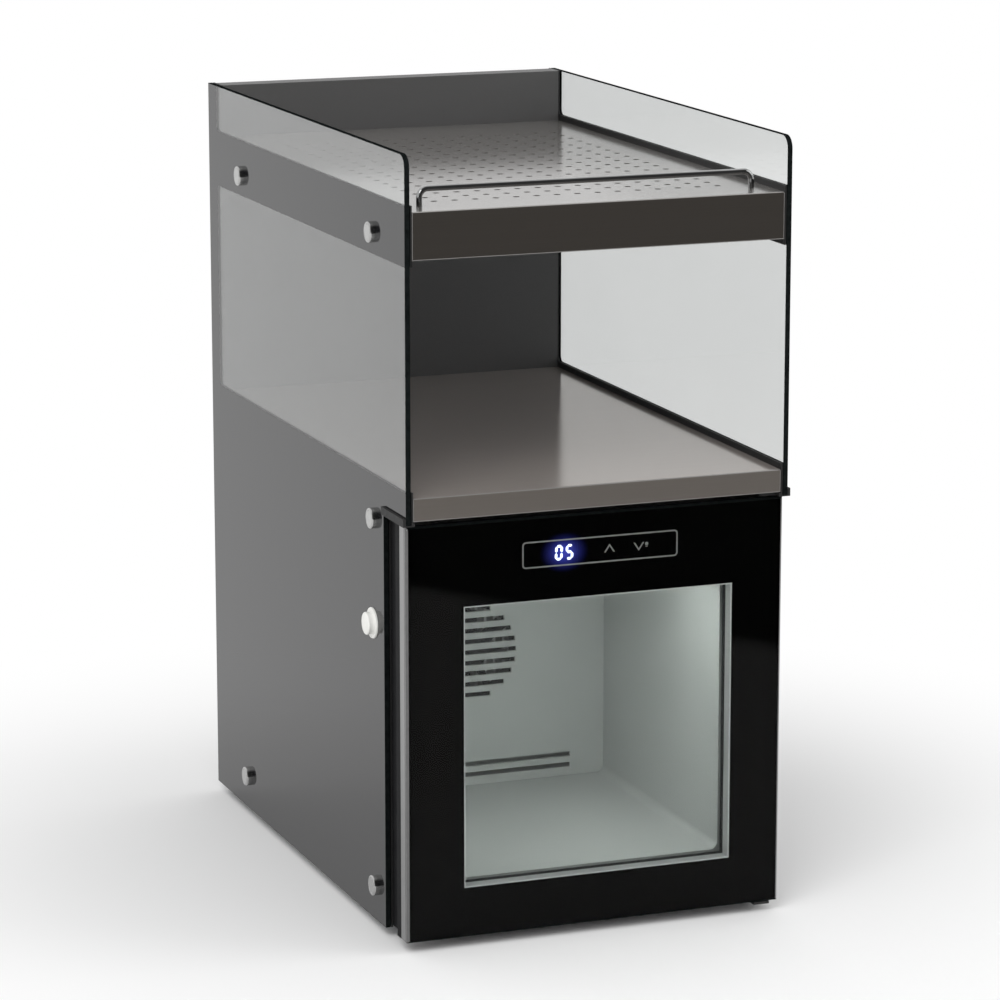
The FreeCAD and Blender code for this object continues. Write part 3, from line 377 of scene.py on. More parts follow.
# Hose plug
# A white moulded bung pushed into the hose port: a thin flange against the glass, a knob to pull it by
# and a stem down the sleeve. The knob is slightly dished, and the plastic a little uneven in gloss.
plug_dark = (0.74, 0.74, 0.71)
plug_light = (0.84, 0.84, 0.81)
plug_low, plug_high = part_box("hose_plug")
plug_seat_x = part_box("side_glass_left")[0].x
plug_flange_radius = (plug_high.y - plug_low.y) / 2
plug_flange_thickness = 1.5 * mm
plug_flange_edge = 0.6 * mm
plug_knob_radius = 8.8 * mm
plug_knob_edge = 1.2 * mm
plug_knob_waist = 0.4 * mm
plug_dish = 0.5 * mm
plug_dish_halfway = 0.35 * mm
plug_stem_radius = 8.05 * mm
plug_stem_edge = 1.0 * mm
plug_proud = plug_seat_x - plug_low.x
plug_tip = plug_seat_x - plug_high.x
plug_waist_radius = plug_knob_radius - plug_knob_waist
plug_waist_height = (plug_flange_thickness + plug_proud) / 2
flange_shoulder = plug_flange_thickness - plug_flange_edge
plug_profile = [(0, plug_tip), (plug_stem_radius - plug_stem_edge, plug_tip)]
plug_profile += [(plug_stem_radius, plug_tip + plug_stem_edge), (plug_stem_radius, 0)]
plug_profile += [(plug_flange_radius, 0)]
plug_profile += arc(plug_flange_radius - plug_flange_edge, flange_shoulder, plug_flange_edge, 0, 90)
plug_profile += [(plug_knob_radius, plug_flange_thickness), (plug_waist_radius, plug_waist_height)]
plug_profile += arc(plug_knob_radius - plug_knob_edge, plug_proud - plug_knob_edge, plug_knob_edge, 0, 90)
plug_profile += [(plug_knob_radius / 2, plug_proud - plug_dish_halfway), (0, plug_proud - plug_dish)]
white_moulding = mottled("white_moulding", plug_dark, plug_light, scale=70.0)
plug_grain = grain(white_moulding, scale=500.0)
vary_gloss(white_moulding, plug_grain, smooth=0.3, rough=0.45)
emboss(white_moulding, plug_grain, depth=0.02 * mm)
plug_place = (plug_seat_x, (plug_low.y + plug_high.y) / 2, (plug_low.z + plug_high.z) / 2)
face_left = (0, -math.pi / 2, 0)
plug = set_out("grip_plug", turned("bung", plug_profile), [plug_place], face_left, white_moulding)
fit(plug, "plug", "white_plug", "hose_plug")

# Cooling unit
# Extruded aluminium fins on both sides of a thermoelectric module, with a solid block between.
# Saw marks cross the fins, and the power supply's case is of the same metal. The module's plates are
# white alumina.
metal_dark = (0.52, 0.52, 0.53)
metal_light = (0.66, 0.66, 0.67)
alumina_dark = (0.72, 0.71, 0.67)
alumina_light = (0.82, 0.81, 0.77)
saw_marks = (1.0, 1.0, 14.0)
mill_aluminium = mottled(
    "mill_aluminium", metal_dark, metal_light,
    scale=60.0, stretch=saw_marks, metallic=1.0, gloss=(0.32, 0.5))
dress(mill_aluminium, "cold_sink", "cold_block", "hot_sink", "power_supply")
alumina = mottled("alumina", alumina_dark, alumina_light, scale=800.0, roughness=0.6)
dress(alumina, "peltier_module")

# Boards and heaters
# Green solder mask on the two circuit boards. The heaters are dark brown silicone mats with a woven
# carrier, and the thermostat is a black phenolic disc.
board_dark = (0.015, 0.09, 0.04)
board_light = (0.03, 0.17, 0.07)
mat_dark = (0.022, 0.014, 0.011)
mat_light = (0.038, 0.026, 0.021)
weave_scale = 400.0
weave_depth = 0.1 * mm
phenolic_dark = (0.02, 0.018, 0.016)
phenolic_light = (0.045, 0.042, 0.04)
board_green = new_finish("board_green", board_light, roughness=0.35)
board_tracks = cells(board_green, scale=420.0, distance="MANHATTAN").outputs["Distance"]
feed(board_green, "Base Color", two_tone(board_green, board_tracks, board_dark, board_light))
dress(board_green, "control_board", "display_board")
heater_mat = mottled("heater_mat", mat_dark, mat_light, scale=300.0, roughness=0.7)
weave_values = {"Vector": own_place(heater_mat), "Scale": weave_scale}
weave = add_node(heater_mat, "ShaderNodeTexBrick", weave_values)
emboss(heater_mat, weave.outputs["Fac"], weave_depth)
dress(heater_mat, "lower_heater_mat", "upper_heater_mat")
phenolic = mottled("phenolic", phenolic_dark, phenolic_light, scale=900.0)
dress(phenolic, "warmer_thermostat")

# Rear column and cover
# Folded sheet from the base to the top of the glass, powder coated dark grey. The coat has the
# fine leathery texture of sprayed powder.
coat_dark = (0.082, 0.081, 0.081)
coat_light = (0.090, 0.089, 0.089)
powder = {"scale": 1100.0, "detail": 2.0}
grey_coat = mottled("grey_coat", coat_dark, coat_light, gloss=(0.42, 0.58), relief=0.05 * mm, **powder)
dress(grey_coat, "rear_column", "rear_cover")

# Rear cover's screws
# Eight pan-head screws in two columns hold the rear cover to the column's folded returns.
# They are zinc-plated steel. Each head is domed, with a cross recess.
rear_low, rear_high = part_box("rear_screws")
rear_seat_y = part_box("rear_cover")[1].y
rear_head_radius = 3.8 * mm
rear_head_height = rear_high.y - rear_seat_y
rear_dome = 0.55 * rear_head_height
rear_shank_radius = 2.0 * mm
rear_shank_tip = rear_low.y - rear_seat_y
recess_reach = 2.1 * mm
recess_half = 0.45 * mm
recess_depth = 1.2 * mm
rear_screw_rows = 4


def thicken(bm, faces, sweep):
    # Flat faces, swept straight to a solid.
    lifted = bmesh.ops.extrude_face_region(bm, geom=faces)
    moved = [item for item in lifted["geom"] if isinstance(item, bmesh.types.BMVert)]
    bmesh.ops.translate(bm, vec=sweep, verts=moved)
    bmesh.ops.recalc_face_normals(bm, faces=bm.faces)


def pan_head(name):
    shoulder = rear_head_height - rear_dome
    profile = [(0, rear_shank_tip), (rear_shank_radius, rear_shank_tip), (rear_shank_radius, 0)]
    profile += [(rear_head_radius, 0), (rear_head_radius, shoulder)]
    for i in range(1, arc_steps):
        angle = math.radians(90 * i / arc_steps)
        profile.append((rear_head_radius * math.cos(angle), shoulder + rear_dome * math.sin(angle)))
    profile.append((0, rear_head_height))
    return turned(name, profile)


def cross_cutter(name):
    bm = bmesh.new()
    floor = rear_head_height - recess_depth
    for across, along in ((recess_reach, recess_half), (recess_half, recess_reach)):
        corners = [(-across, -along), (across, -along), (across, along), (-across, along)]
        base = bm.faces.new([bm.verts.new((x, y, floor)) for x, y in corners])
        thicken(bm, [base], (0, 0, 2 * recess_depth))
    return as_object(name, bm)


def carve(piece, cutter):
    # Takes the cutter's shape out of the piece. The cutter is used up.
    cut = piece.modifiers.new("cut", "BOOLEAN")
    cut.operation = "DIFFERENCE"
    cut.solver = "EXACT"
    cut.use_self = True
    cut.object = cutter
    settle(piece)
    bpy.data.objects.remove(cutter)


rear_screw = pan_head("rear_screw")
carve(rear_screw, cross_cutter("cross_cutter"))
soften(rear_screw)
rear_places = []
rear_first_z = rear_low.z + rear_head_radius
rear_last_z = rear_high.z - rear_head_radius
for x in (rear_low.x + rear_head_radius, rear_high.x - rear_head_radius):
    for row in range(rear_screw_rows):
        z = rear_first_z + (rear_last_z - rear_first_z) * row / (rear_screw_rows - 1)
        rear_places.append((x, rear_seat_y, z))
face_back = (-math.pi / 2, 0, 0)
rear_heads = set_out("cross_head_screws", rear_screw, rear_places, face_back, bright_zinc)
fit(rear_heads, "cabinet", "zinc_screws", "rear_screws")

# Mains inlet's pins
# Three blades that stand in the inlet's socket. They are stamped from brass strip, plated, and pressed
# into the moulding.
brass_dark = (0.60, 0.52, 0.30)
brass_light = (0.74, 0.66, 0.42)
plated_brass = mottled(
    "plated_brass", brass_dark, brass_light, scale=600.0, metallic=1.0, gloss=(0.2, 0.32))
dress(plated_brass, "inlet_pins")

# Side cheeks and hinge plates
# Black powder-coated steel sheets just behind the side glass: body side, shelf bands and rear upright in
# one. Rubber washers keep them off the glass, and rubber channels edge its step. The two straps that
# carry the door's pins have the same coat.
cheek_dark = (0.010, 0.010, 0.010)
cheek_light = (0.016, 0.016, 0.016)
black_coat = mottled("black_coat", cheek_dark, cheek_light, gloss=(0.45, 0.6), relief=0.04 * mm, **powder)
dress(black_coat, "side_cheek_left", "side_cheek_right", "upper_hinge_plate", "lower_hinge_plate")
dress(moulded_rubber, "glass_washers", "step_trim_left", "step_trim_right")

# Side glass
# A lightly smoked sheet on each side, stepped over the door and drilled for its screws and the hose port.
# Black enamel is fired on it wherever a cheek lies behind, so that only two bays stay clear. Its edges are
# painted black without shine, as painted shade for the dark that the sheet's edges gather.
smoke_dark = (0.79, 0.805, 0.80)
smoke_light = (0.81, 0.825, 0.82)
smoked_index = 1.5
enamelled_index = 1.38
enamel_dark = (0.006, 0.006, 0.007)
enamel_light = (0.009, 0.009, 0.010)
edge_dark = (0.004, 0.005, 0.005)
edge_light = (0.010, 0.012, 0.012)
glass_arris = 0.4 * mm
arris_segments = 2
arris_angle = 60.0
broad_face = 0.99
glass_corner = 10.0 * mm
bay_corner = 5.0 * mm
bay_above_tray = 4.8 * mm
bay_below_lip = 4.6 * mm
trim_web = 1.0 * mm
cap_radius = 8.0 * mm
cap_middle_drop = 8.5 * mm
cap_hole_radius = 3.5 * mm
port_hole_radius = 10.1 * mm
corner_steps = 24


def clear_glass(name, dark_tint, light_tint, index):
    material = mottled(name, dark_tint, light_tint, scale=6.0, roughness=0.0)
    set_shader(material, {"Transmission Weight": 1.0, "IOR": index})
    return material


def ease_edges(piece):
    bevel = piece.modifiers.new("eased_edges", "BEVEL")
    bevel.width = glass_arris
    bevel.segments = arris_segments
    bevel.limit_method = "ANGLE"
    bevel.angle_limit = math.radians(arris_angle)
    settle(piece)


def glaze(piece, axis, edge_finish, *face_finishes):
    # The broad faces keep the finish they were cut for, and the edges all round take the edge finish.
    for finish in (*face_finishes, edge_finish):
        piece.data.materials.append(finish)
    for polygon in piece.data.polygons:
        if abs(polygon.normal[axis]) < broad_face:
            polygon.material_index = len(face_finishes)


def rounded(before, corner, after, radius, steps=corner_steps):
    # A right-angled corner between two neighbours, as points on a quarter-round.
    corner = Vector(corner)
    back = (Vector(before) - corner).normalized()
    onward = (Vector(after) - corner).normalized()
    centre = corner + (back + onward) * radius
    points = []
    for i in range(steps + 1):
        angle = math.radians(90 * i / steps)
        points.append(centre - (onward * math.cos(angle) + back * math.sin(angle)) * radius)
    return points


def cap_places(side, x):
    # The five screws of one side: four near the corners and one under the step.
    low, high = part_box("glass_caps_" + side)
    front_y = low.y + cap_radius
    back_y = high.y - cap_radius
    places = [(x, y, z) for y in (front_y, back_y) for z in (low.z + cap_radius, high.z - cap_radius)]
    places.append((x, front_y, step_z - cap_middle_drop))
    return places


def drill(piece, places, radius, reach):
    bit = turned("bit", [(0, -reach), (radius, -reach), (radius, reach), (0, reach)])
    carve(piece, set_out("bits", bit, places, (0, math.pi / 2, 0), ground_edge))


smoked_glass = clear_glass("smoked_glass", smoke_dark, smoke_light, smoked_index)
enamelled_glass = mottled("enamelled_glass", enamel_dark, enamel_light, scale=400.0, roughness=0.02)
set_shader(enamelled_glass, {"IOR": enamelled_index})
# Near-black edges with no shine: painted shade, on the side glass's edges and the door's bevels above and
# below.
ground_edge = mottled("ground_edge", edge_dark, edge_light, scale=300.0, roughness=0.25)
set_shader(ground_edge, {"Specular IOR Level": 0.0})
trim_low, trim_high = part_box("step_trim_left")
upper_tray_low, upper_tray_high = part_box("upper_tray")
step_y = trim_high.y
step_z = trim_low.z + trim_web
upright_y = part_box("rear_column")[0].y
lower_bay_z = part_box("lower_tray")[1].z + bay_above_tray
lower_bay_top = upper_tray_low.z - bay_below_lip
upper_bay_z = upper_tray_high.z + bay_above_tray
for side in ("left", "right"):
    low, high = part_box("side_glass_" + side)
    front_foot, back_foot = (low.y, lower_bay_z), (upright_y, lower_bay_z)
    back_head, front_head = (upright_y, lower_bay_top), (low.y, lower_bay_top)
    lower_bay = [front_foot, *rounded(front_foot, back_foot, back_head, bay_corner)]
    lower_bay += [*rounded(back_foot, back_head, front_head, bay_corner), front_head]
    front_foot, back_foot, back_head = (low.y, upper_bay_z), (upright_y, upper_bay_z), (upright_y, high.z)
    upper_bay = [front_foot, *rounded(front_foot, back_foot, back_head, bay_corner), back_head]
    top_corner = rounded(back_head, (low.y, high.z), front_foot, glass_corner)
    step = [(step_y, low.z), (step_y, step_z), (low.y, step_z)]
    back = [(high.y, high.z), (high.y, low.z)]
    bm = bmesh.new()
    paths = []
    for points in (step, lower_bay, upper_bay, top_corner, back):
        paths.append([bm.verts.new((low.x, y, z)) for y, z in points])
    step, lower_bay, upper_bay, top_corner, back = paths
    enamelled = bm.faces.new(step + lower_bay + upper_bay + back)
    enamelled.material_index = 1
    zones = [enamelled, bm.faces.new(lower_bay), bm.faces.new(upper_bay + top_corner)]
    thicken(bm, zones, (high.x - low.x, 0, 0))
    pane = as_object("side_pane_" + side, bm)
    ease_edges(pane)
    glaze(pane, 0, ground_edge, smoked_glass, enamelled_glass)
    drill(pane, cap_places(side, low.x), cap_hole_radius, 2 * (high.x - low.x))
    if side == "left":
        drill(pane, [plug_place], port_hole_radius, 2 * (high.x - low.x))
    fit(pane, "cabinet", "clear_glass", "side_glass_" + side)

# Glass caps
# Five bright caps a side cover the screws through glass, cheek and body. Each is turned from bar,
# with a rounded rim and a fine groove near the rim.
cap_dark = (0.40, 0.40, 0.40)
cap_light = (0.48, 0.48, 0.47)
cap_rim = 1.1 * mm
cap_groove_inset = 1.9 * mm
cap_groove_half = 0.25 * mm
cap_groove_depth = 0.25 * mm
cap_shank_radius = 3.0 * mm
bright_cap = mottled("bright_cap", cap_dark, cap_light, scale=500.0, metallic=1.0, gloss=(0.14, 0.26))
for side, turn in (("left", -1), ("right", 1)):
    low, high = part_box("glass_caps_" + side)
    pane_low, pane_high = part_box("side_glass_" + side)
    face_x = pane_low.x if turn < 0 else pane_high.x
    proud = face_x - low.x if turn < 0 else high.x - face_x
    shank_tip = face_x - high.x if turn < 0 else low.x - face_x
    groove_radius = cap_radius - cap_groove_inset
    profile = [(0, shank_tip), (cap_shank_radius, shank_tip), (cap_shank_radius, 0), (cap_radius, 0)]
    profile += arc(cap_radius - cap_rim, proud - cap_rim, cap_rim, 0, 90)
    profile += [(groove_radius + cap_groove_half, proud), (groove_radius, proud - cap_groove_depth)]
    profile += [(groove_radius - cap_groove_half, proud), (0, proud)]
    stand_off = (0, turn * math.pi / 2, 0)
    places = cap_places(side, face_x)
    caps = set_out("bright_caps_" + side, turned("cap", profile), places, stand_off, bright_cap)
    fit(caps, "cabinet", "chrome", "glass_caps_" + side)

# Shelf trays
# Folded polished stainless sheet: a flat top and a front lip, deep on the upper tray. The lip's colour is
# painted dark, as a painted reflection of the dark room, with painted highlights along its edges. The upper
# top is painted darker than the lower, as painted shade. The top has faint polishing lines along its width.
lower_top_dark = (0.45, 0.405, 0.375)
lower_top_light = (0.47, 0.425, 0.395)
upper_top_shade_dark = (0.22, 0.21, 0.20)
upper_top_shade_light = (0.24, 0.23, 0.22)
lower_lip_shade_dark = (0.164, 0.147, 0.132)
lower_lip_shade_light = (0.172, 0.155, 0.140)
upper_lip_shade_dark = (0.054, 0.048, 0.042)
upper_lip_shade_light = (0.058, 0.052, 0.046)
# Painted highlight colour for the lip's ends, top and bottom.
painted_edge_highlight = (0.30, 0.29, 0.28, 1.0)
highlight_band = 0.6 * mm
lip_depth = 1.3 * mm
polish_scale = 400.0
polish_lines = (0.012, 8.0, 8.0)


def maths(owner, operation, *values):
    return add_node(owner, "ShaderNodeMath", dict(enumerate(values)), operation=operation).outputs["Value"]


def between(material, axis, low, high):
    # 1 where the piece's own coordinate lies between two values, otherwise 0.
    parts = add_node(material, "ShaderNodeSeparateXYZ", {"Vector": own_place(material)})
    return maths(material, "COMPARE", parts.outputs[axis], (low + high) / 2, (high - low) / 2)


def mixed(material, factor, first, second):
    # First colour where the factor is 0, second where it is 1.
    values = {0: factor, 6: first, 7: second}
    return add_node(material, "ShaderNodeMix", values, data_type="RGBA").outputs[2]


def tray_steel(node, top_dark, top_light, lip_shade_dark, lip_shade_light):
    low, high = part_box(node)
    material = new_finish(node + "_steel", top_light, metallic=0.4)
    lines = grain(material, polish_scale, polish_lines)
    top = two_tone(material, lines, top_dark, top_light)
    lip = two_tone(material, lines, lip_shade_dark, lip_shade_light)
    front = between(material, "Y", low.y - highlight_band, low.y + lip_depth)
    across = between(material, "X", low.x + highlight_band, high.x - highlight_band)
    up = between(material, "Z", low.z + highlight_band, high.z - highlight_band)
    # The lip takes its painted reflection colour, framed by painted highlights at its ends, top and bottom.
    lip_shade_and_highlights = mixed(material, maths(material, "MULTIPLY", across, up), painted_edge_highlight, lip)
    feed(material, "Base Color", mixed(material, front, top, lip_shade_and_highlights))
    vary_gloss(material, lines, smooth=0.12, rough=0.18)
    dress(material, node)


tray_steel("lower_tray", lower_top_dark, lower_top_light, lower_lip_shade_dark, lower_lip_shade_light)
tray_steel("upper_tray", upper_top_shade_dark, upper_top_shade_light, upper_lip_shade_dark, upper_lip_shade_light)

# Gallery rail
# One polished rod, bent at both ends, with its legs through the upper tray and nutted below.
# It keeps what stands on the tray from sliding off the front.
# The rod's colour is painted darker than bright steel, as a painted reflection of the dark room.
rod_dark = (0.34, 0.34, 0.34)
rod_light = (0.42, 0.42, 0.42)
rail_low, rail_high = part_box("gallery_rail")
rail_rod_radius = (rail_high.y - rail_low.y) / 2
rail_bend = 6.5 * mm
bend_points = 12
rod_sides = 24
rod_soft_angle = 60.0


def rod_tree():
    # A round rod along a wire of straight runs, with its corners rounded.
    kinds = {"Wire": "Geometry", "Rod Radius": "Float", "Bend Radius": "Float", "Finish": "Material"}
    tree, given = new_tree("bent_rod", kinds)
    curve = add_node(tree, "GeometryNodeMeshToCurve", {"Mesh": given["Wire"]})
    values = {"Curve": curve.outputs["Curve"], "Radius": given["Bend Radius"], "Count": bend_points}
    path = add_node(tree, "GeometryNodeFilletCurve", values, mode="POLY")
    values = {"Radius": given["Rod Radius"], "Resolution": rod_sides}
    section = add_node(tree, "GeometryNodeCurvePrimitiveCircle", values)
    values = {"Curve": path.outputs["Curve"], "Profile Curve": section.outputs["Curve"], "Fill Caps": True}
    skin = add_node(tree, "GeometryNodeCurveToMesh", values)
    close_tree(tree, skin.outputs["Mesh"], given["Finish"])
    return tree


polished_rod = mottled("polished_rod", rod_dark, rod_light, scale=45.0, metallic=1.0, gloss=(0.05, 0.12))
bm = bmesh.new()
rail_y = (rail_low.y + rail_high.y) / 2
rail_left = rail_low.x + rail_rod_radius
rail_right = rail_high.x - rail_rod_radius
rail_top = rail_high.z - rail_rod_radius
corners = [(rail_left, rail_low.z), (rail_left, rail_top), (rail_right, rail_top), (rail_right, rail_low.z)]
wire = [bm.verts.new((x, rail_y, z)) for x, z in corners]
for start, end in zip(wire, wire[1:]):
    bm.edges.new((start, end))
rail = as_object("bent_rail", bm)
rail_values = {"Rod Radius": rail_rod_radius, "Bend Radius": rail_bend, "Finish": polished_rod}
add_modifier(rail, rod_tree(), rail_values)
settle(rail)
bm = bmesh.new()
bm.from_mesh(rail.data)
bmesh.ops.recalc_face_normals(bm, faces=bm.faces)
bm.to_mesh(rail.data)
bm.free()
soften(rail, rod_soft_angle)
fit(rail, "cabinet", "chrome", "gallery_rail")

# Door frame, spacer and hinge bushes
# Satin anodised aluminium edge behind the door's glass, and the pale lacquered spacer round the window
# that keeps the two panes apart. The hinge pins turn in plain nylon bushes.
satin_dark = (0.27, 0.27, 0.27)
satin_light = (0.33, 0.33, 0.33)
spacer_dark = (0.50, 0.51, 0.51)
spacer_light = (0.58, 0.59, 0.59)
nylon_dark = (0.70, 0.69, 0.65)
nylon_light = (0.80, 0.79, 0.75)
satin_aluminium = mottled(
    "satin_aluminium", satin_dark, satin_light, scale=500.0, metallic=1.0, gloss=(0.3, 0.42))
dress(satin_aluminium, "door_frame")
pale_spacer = mottled("pale_spacer", spacer_dark, spacer_light, scale=500.0, metallic=0.3, roughness=0.4)
dress(pale_spacer, "glazing_spacer")
plain_nylon = mottled("plain_nylon", nylon_dark, nylon_light, scale=400.0)
dress(plain_nylon, "hinge_bushes")

# Door seal
# A soft black extrusion, welded into a frame with mitred corners and pushed into the door's back.
# Its face is a hollow magnetic bulb and its inner side a folded bellows.
seal_low, seal_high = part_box("door_gasket")
seal_width = 12.0 * mm
seal_root = 2.0 * mm
seal_neck_inset = 1.6 * mm
seal_neck = 3.4 * mm
seal_bulb_inset = 0.4 * mm
seal_bulb = 1.4 * mm
seal_bulb_shoulder = 0.42 * mm
seal_fold_back = 2.6 * mm
seal_fold_middle = 3.2 * mm
seal_fold_front = 2.4 * mm
seal_fold_depth = 3.0 * mm
seal_soft_angle = 50.0


def rectangle(bm, low, high, inset, y):
    # The four corners of a box's front outline, moved in by the inset.
    x0, x1 = low.x + inset, high.x - inset
    z0, z1 = low.z + inset, high.z - inset
    return [bm.verts.new((x, y, z)) for x, z in ((x0, z0), (x1, z0), (x1, z1), (x0, z1))]


def band(bm, loop, next_loop):
    # Faces all round between two loops with the same number of points.
    faces = []
    for i in range(len(loop)):
        j = (i + 1) % len(loop)
        faces.append(bm.faces.new((loop[i], loop[j], next_loop[j], next_loop[i])))
    return faces


seal_front = seal_low.y
seal_back = seal_high.y
seal_profile = [
    (0, seal_front),
    (0, seal_front + seal_root),
    (seal_neck_inset, seal_front + seal_neck),
    (seal_bulb_inset, seal_back - seal_bulb),
    (seal_bulb_inset + seal_bulb_shoulder, seal_back - seal_bulb_shoulder),
    (seal_bulb_inset + seal_bulb, seal_back),
    (seal_width - seal_bulb, seal_back),
    (seal_width - seal_bulb_shoulder, seal_back - seal_bulb_shoulder),
    (seal_width, seal_back - seal_bulb),
    (seal_width, seal_back - seal_fold_back),
    (seal_width - seal_fold_depth, seal_back - seal_fold_middle),
    (seal_width, seal_front + seal_fold_front),
    (seal_width, seal_front),
]
bm = bmesh.new()
loops = [rectangle(bm, seal_low, seal_high, inset, y) for inset, y in seal_profile]
for loop, next_loop in zip(loops, loops[1:] + loops[:1]):
    band(bm, loop, next_loop)
bmesh.ops.recalc_face_normals(bm, faces=bm.faces)
seal = as_object("bellows_seal", bm)
soften(seal, seal_soft_angle)
seal.data.materials.append(moulded_rubber)
fit(seal, "door", "black_rubber", "door_gasket")

# Door glass and inner pane
# The front sheet covers the whole door, with polished bevels at its sides and bevels painted black above
# and below, as painted shade.
# The inner pane closes the insulating gap. A coating makes both reflect little, given as a low index, and
# where the print lies on the sheet's back, no air is between them and the back doesn't reflect.
door_tint_dark = (0.89, 0.91, 0.90)
door_tint_light = (0.91, 0.93, 0.92)
coated_index = 1.19
printed_index = 1.0
bevel_dark = (0.07, 0.07, 0.07)
bevel_light = (0.09, 0.09, 0.09)
bevel_index = 1.7
door_bevel = 1.8 * mm
mask_gap = 0.1 * mm
print_lap = 5.0 * mm
bevel_face = 0.5
coated_glass = clear_glass("coated_glass", door_tint_dark, door_tint_light, coated_index)
dress(coated_glass, "inner_pane")
printed_glass = clear_glass("printed_glass", door_tint_dark, door_tint_light, printed_index)
polished_bevel = mottled("polished_bevel", bevel_dark, bevel_light, scale=300.0, roughness=0.15)
set_shader(polished_bevel, {"IOR": bevel_index})
door_low, door_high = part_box("door_glass")
spacer_low, spacer_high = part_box("glazing_spacer")
door_back_y = door_high.y - mask_gap
bm = bmesh.new()
door_front = rectangle(bm, door_low, door_high, door_bevel, door_low.y)
door_rim = rectangle(bm, door_low, door_high, 0, door_low.y + door_bevel)
door_back = rectangle(bm, door_low, door_high, 0, door_back_y)
window = rectangle(bm, spacer_low, spacer_high, print_lap, door_back_y)
band(bm, door_front, door_rim)
band(bm, door_rim, door_back)
bm.faces.new(door_front)
bm.faces.new(window)
for face in band(bm, door_back, window):
    face.material_index = 1
bmesh.ops.recalc_face_normals(bm, faces=bm.faces)
door_sheet = as_object("door_sheet", bm)
glaze(door_sheet, 1, polished_bevel, coated_glass, printed_glass)
# The bevels above and below take the black edge finish, as painted shade.
door_sheet.data.materials.append(ground_edge)
for polygon in door_sheet.data.polygons:
    if abs(polygon.normal.z) > bevel_face:
        polygon.material_index = len(door_sheet.data.materials) - 1
fit(door_sheet, "door", "door_glass", "door_glass")

# Screen print behind the door glass
# Opaque black ink, printed on the back of the sheet round the window, hides the frame and the boards.
# The display's own window is as black. The ink is matt, with a faint mottle.
ink_dark = (0.0006, 0.0006, 0.0006)
ink_light = (0.0012, 0.0012, 0.0012)
black_ink = mottled("black_ink", ink_dark, ink_light, scale=500.0, roughness=0.6)
set_shader(black_ink, {"Specular IOR Level": 0.0})
dress(black_ink, "door_mask", "display_module")

# Display
# Two glowing digits of straight segments, lit by diodes behind the display's window. A painted blue glow,
# emitted by the black print itself, stands in for their light spreading round them and fades away from
# their middle.
module_low, module_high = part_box("display_module")
digit_height = 11.8 * mm
digit_width = 6.2 * mm
digit_pitch = 8.6 * mm
digit_stroke = 1.9 * mm
digit_lean = 0.05
digit_gap = 0.25 * mm
digit_thickness = 0.05 * mm
digit_glow = 2.2
digit_colour = (0.72, 0.80, 1.0)
digit_dark = (0.55, 0.65, 0.85)
digit_light = (0.65, 0.75, 0.95)
halo_colour = (0.10, 0.12, 0.90)
halo_strength = 0.45
halo_half_width = 2.4 * digit_pitch
halo_half_height = 1.4 * digit_height
halo_full = 0.7
no_light = (0.0, 0.0, 0.0)
segments_of = {"0": "abcdef", "5": "acdfg"}
shown = "05"


def bar(start, end, stroke):
    # A display segment: a bar with pointed ends between two points of (x, z).
    start = Vector(start)
    end = Vector(end)
    along = (end - start).normalized()
    side = Vector((-along.y, along.x)) * stroke / 2
    tip = along * stroke / 2
    return [start, start + tip + side, end - tip + side, end, end - tip - side, start + tip - side]


def segment(letter):
    half = digit_width / 2 - digit_stroke / 2
    top = digit_height / 2 - digit_stroke / 2
    gap = digit_gap
    ends = {
        "a": ((-half + gap, top), (half - gap, top)),
        "b": ((half, top - gap), (half, gap)),
        "c": ((half, -gap), (half, -top + gap)),
        "d": ((-half + gap, -top), (half - gap, -top)),
        "e": ((-half, -gap), (-half, -top + gap)),
        "f": ((-half, top - gap), (-half, gap)),
        "g": ((-half + gap, 0), (half - gap, 0)),
    }
    return bar(*ends[letter], digit_stroke)


def flat_faces(bm, outlines, y):
    # Faces that look to the front, from outlines of (x, z) points.
    return [bm.faces.new([bm.verts.new((x, y, z)) for x, z in outline]) for outline in outlines]


glow = mottled("digit_glow", digit_dark, digit_light, scale=300.0)
set_shader(glow, {"Emission Color": (*digit_colour, 1.0), "Emission Strength": digit_glow})
digit_middle_x = (module_low.x + module_high.x) / 2
digit_middle_z = (module_low.z + module_high.z) / 2
# The print round the digits glows blue: a painted halo, though the print is no lamp.
halo_values = {
    "Vector": own_place(black_ink), "Location": (digit_middle_x, module_low.y, digit_middle_z),
    "Scale": (halo_half_width, 1.0, halo_half_height)}
halo_place = add_node(black_ink, "ShaderNodeMapping", halo_values, vector_type="TEXTURE")
halo_values = {"Vector": halo_place.outputs["Vector"]}
halo = add_node(black_ink, "ShaderNodeTexGradient", halo_values, gradient_type="QUADRATIC_SPHERE")
painted_halo_tint = two_tone(black_ink, halo.outputs["Fac"], no_light, halo_colour, start=0.0, end=halo_full)
feed(black_ink, "Emission Color", painted_halo_tint)
set_shader(black_ink, {"Emission Strength": halo_strength})
digit_outlines = []
for i, character in enumerate(shown):
    centre_x = digit_middle_x + (i - (len(shown) - 1) / 2) * digit_pitch
    for letter in segments_of[character]:
        points = [(centre_x + p.x + p.y * digit_lean, digit_middle_z + p.y) for p in segment(letter)]
        digit_outlines.append(points)
bm = bmesh.new()
thicken(bm, flat_faces(bm, digit_outlines, module_low.y), (0, -digit_thickness, 0))
digits = as_object("lit_digits", bm)
digits.data.materials.append(glow)
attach(digits, "door")

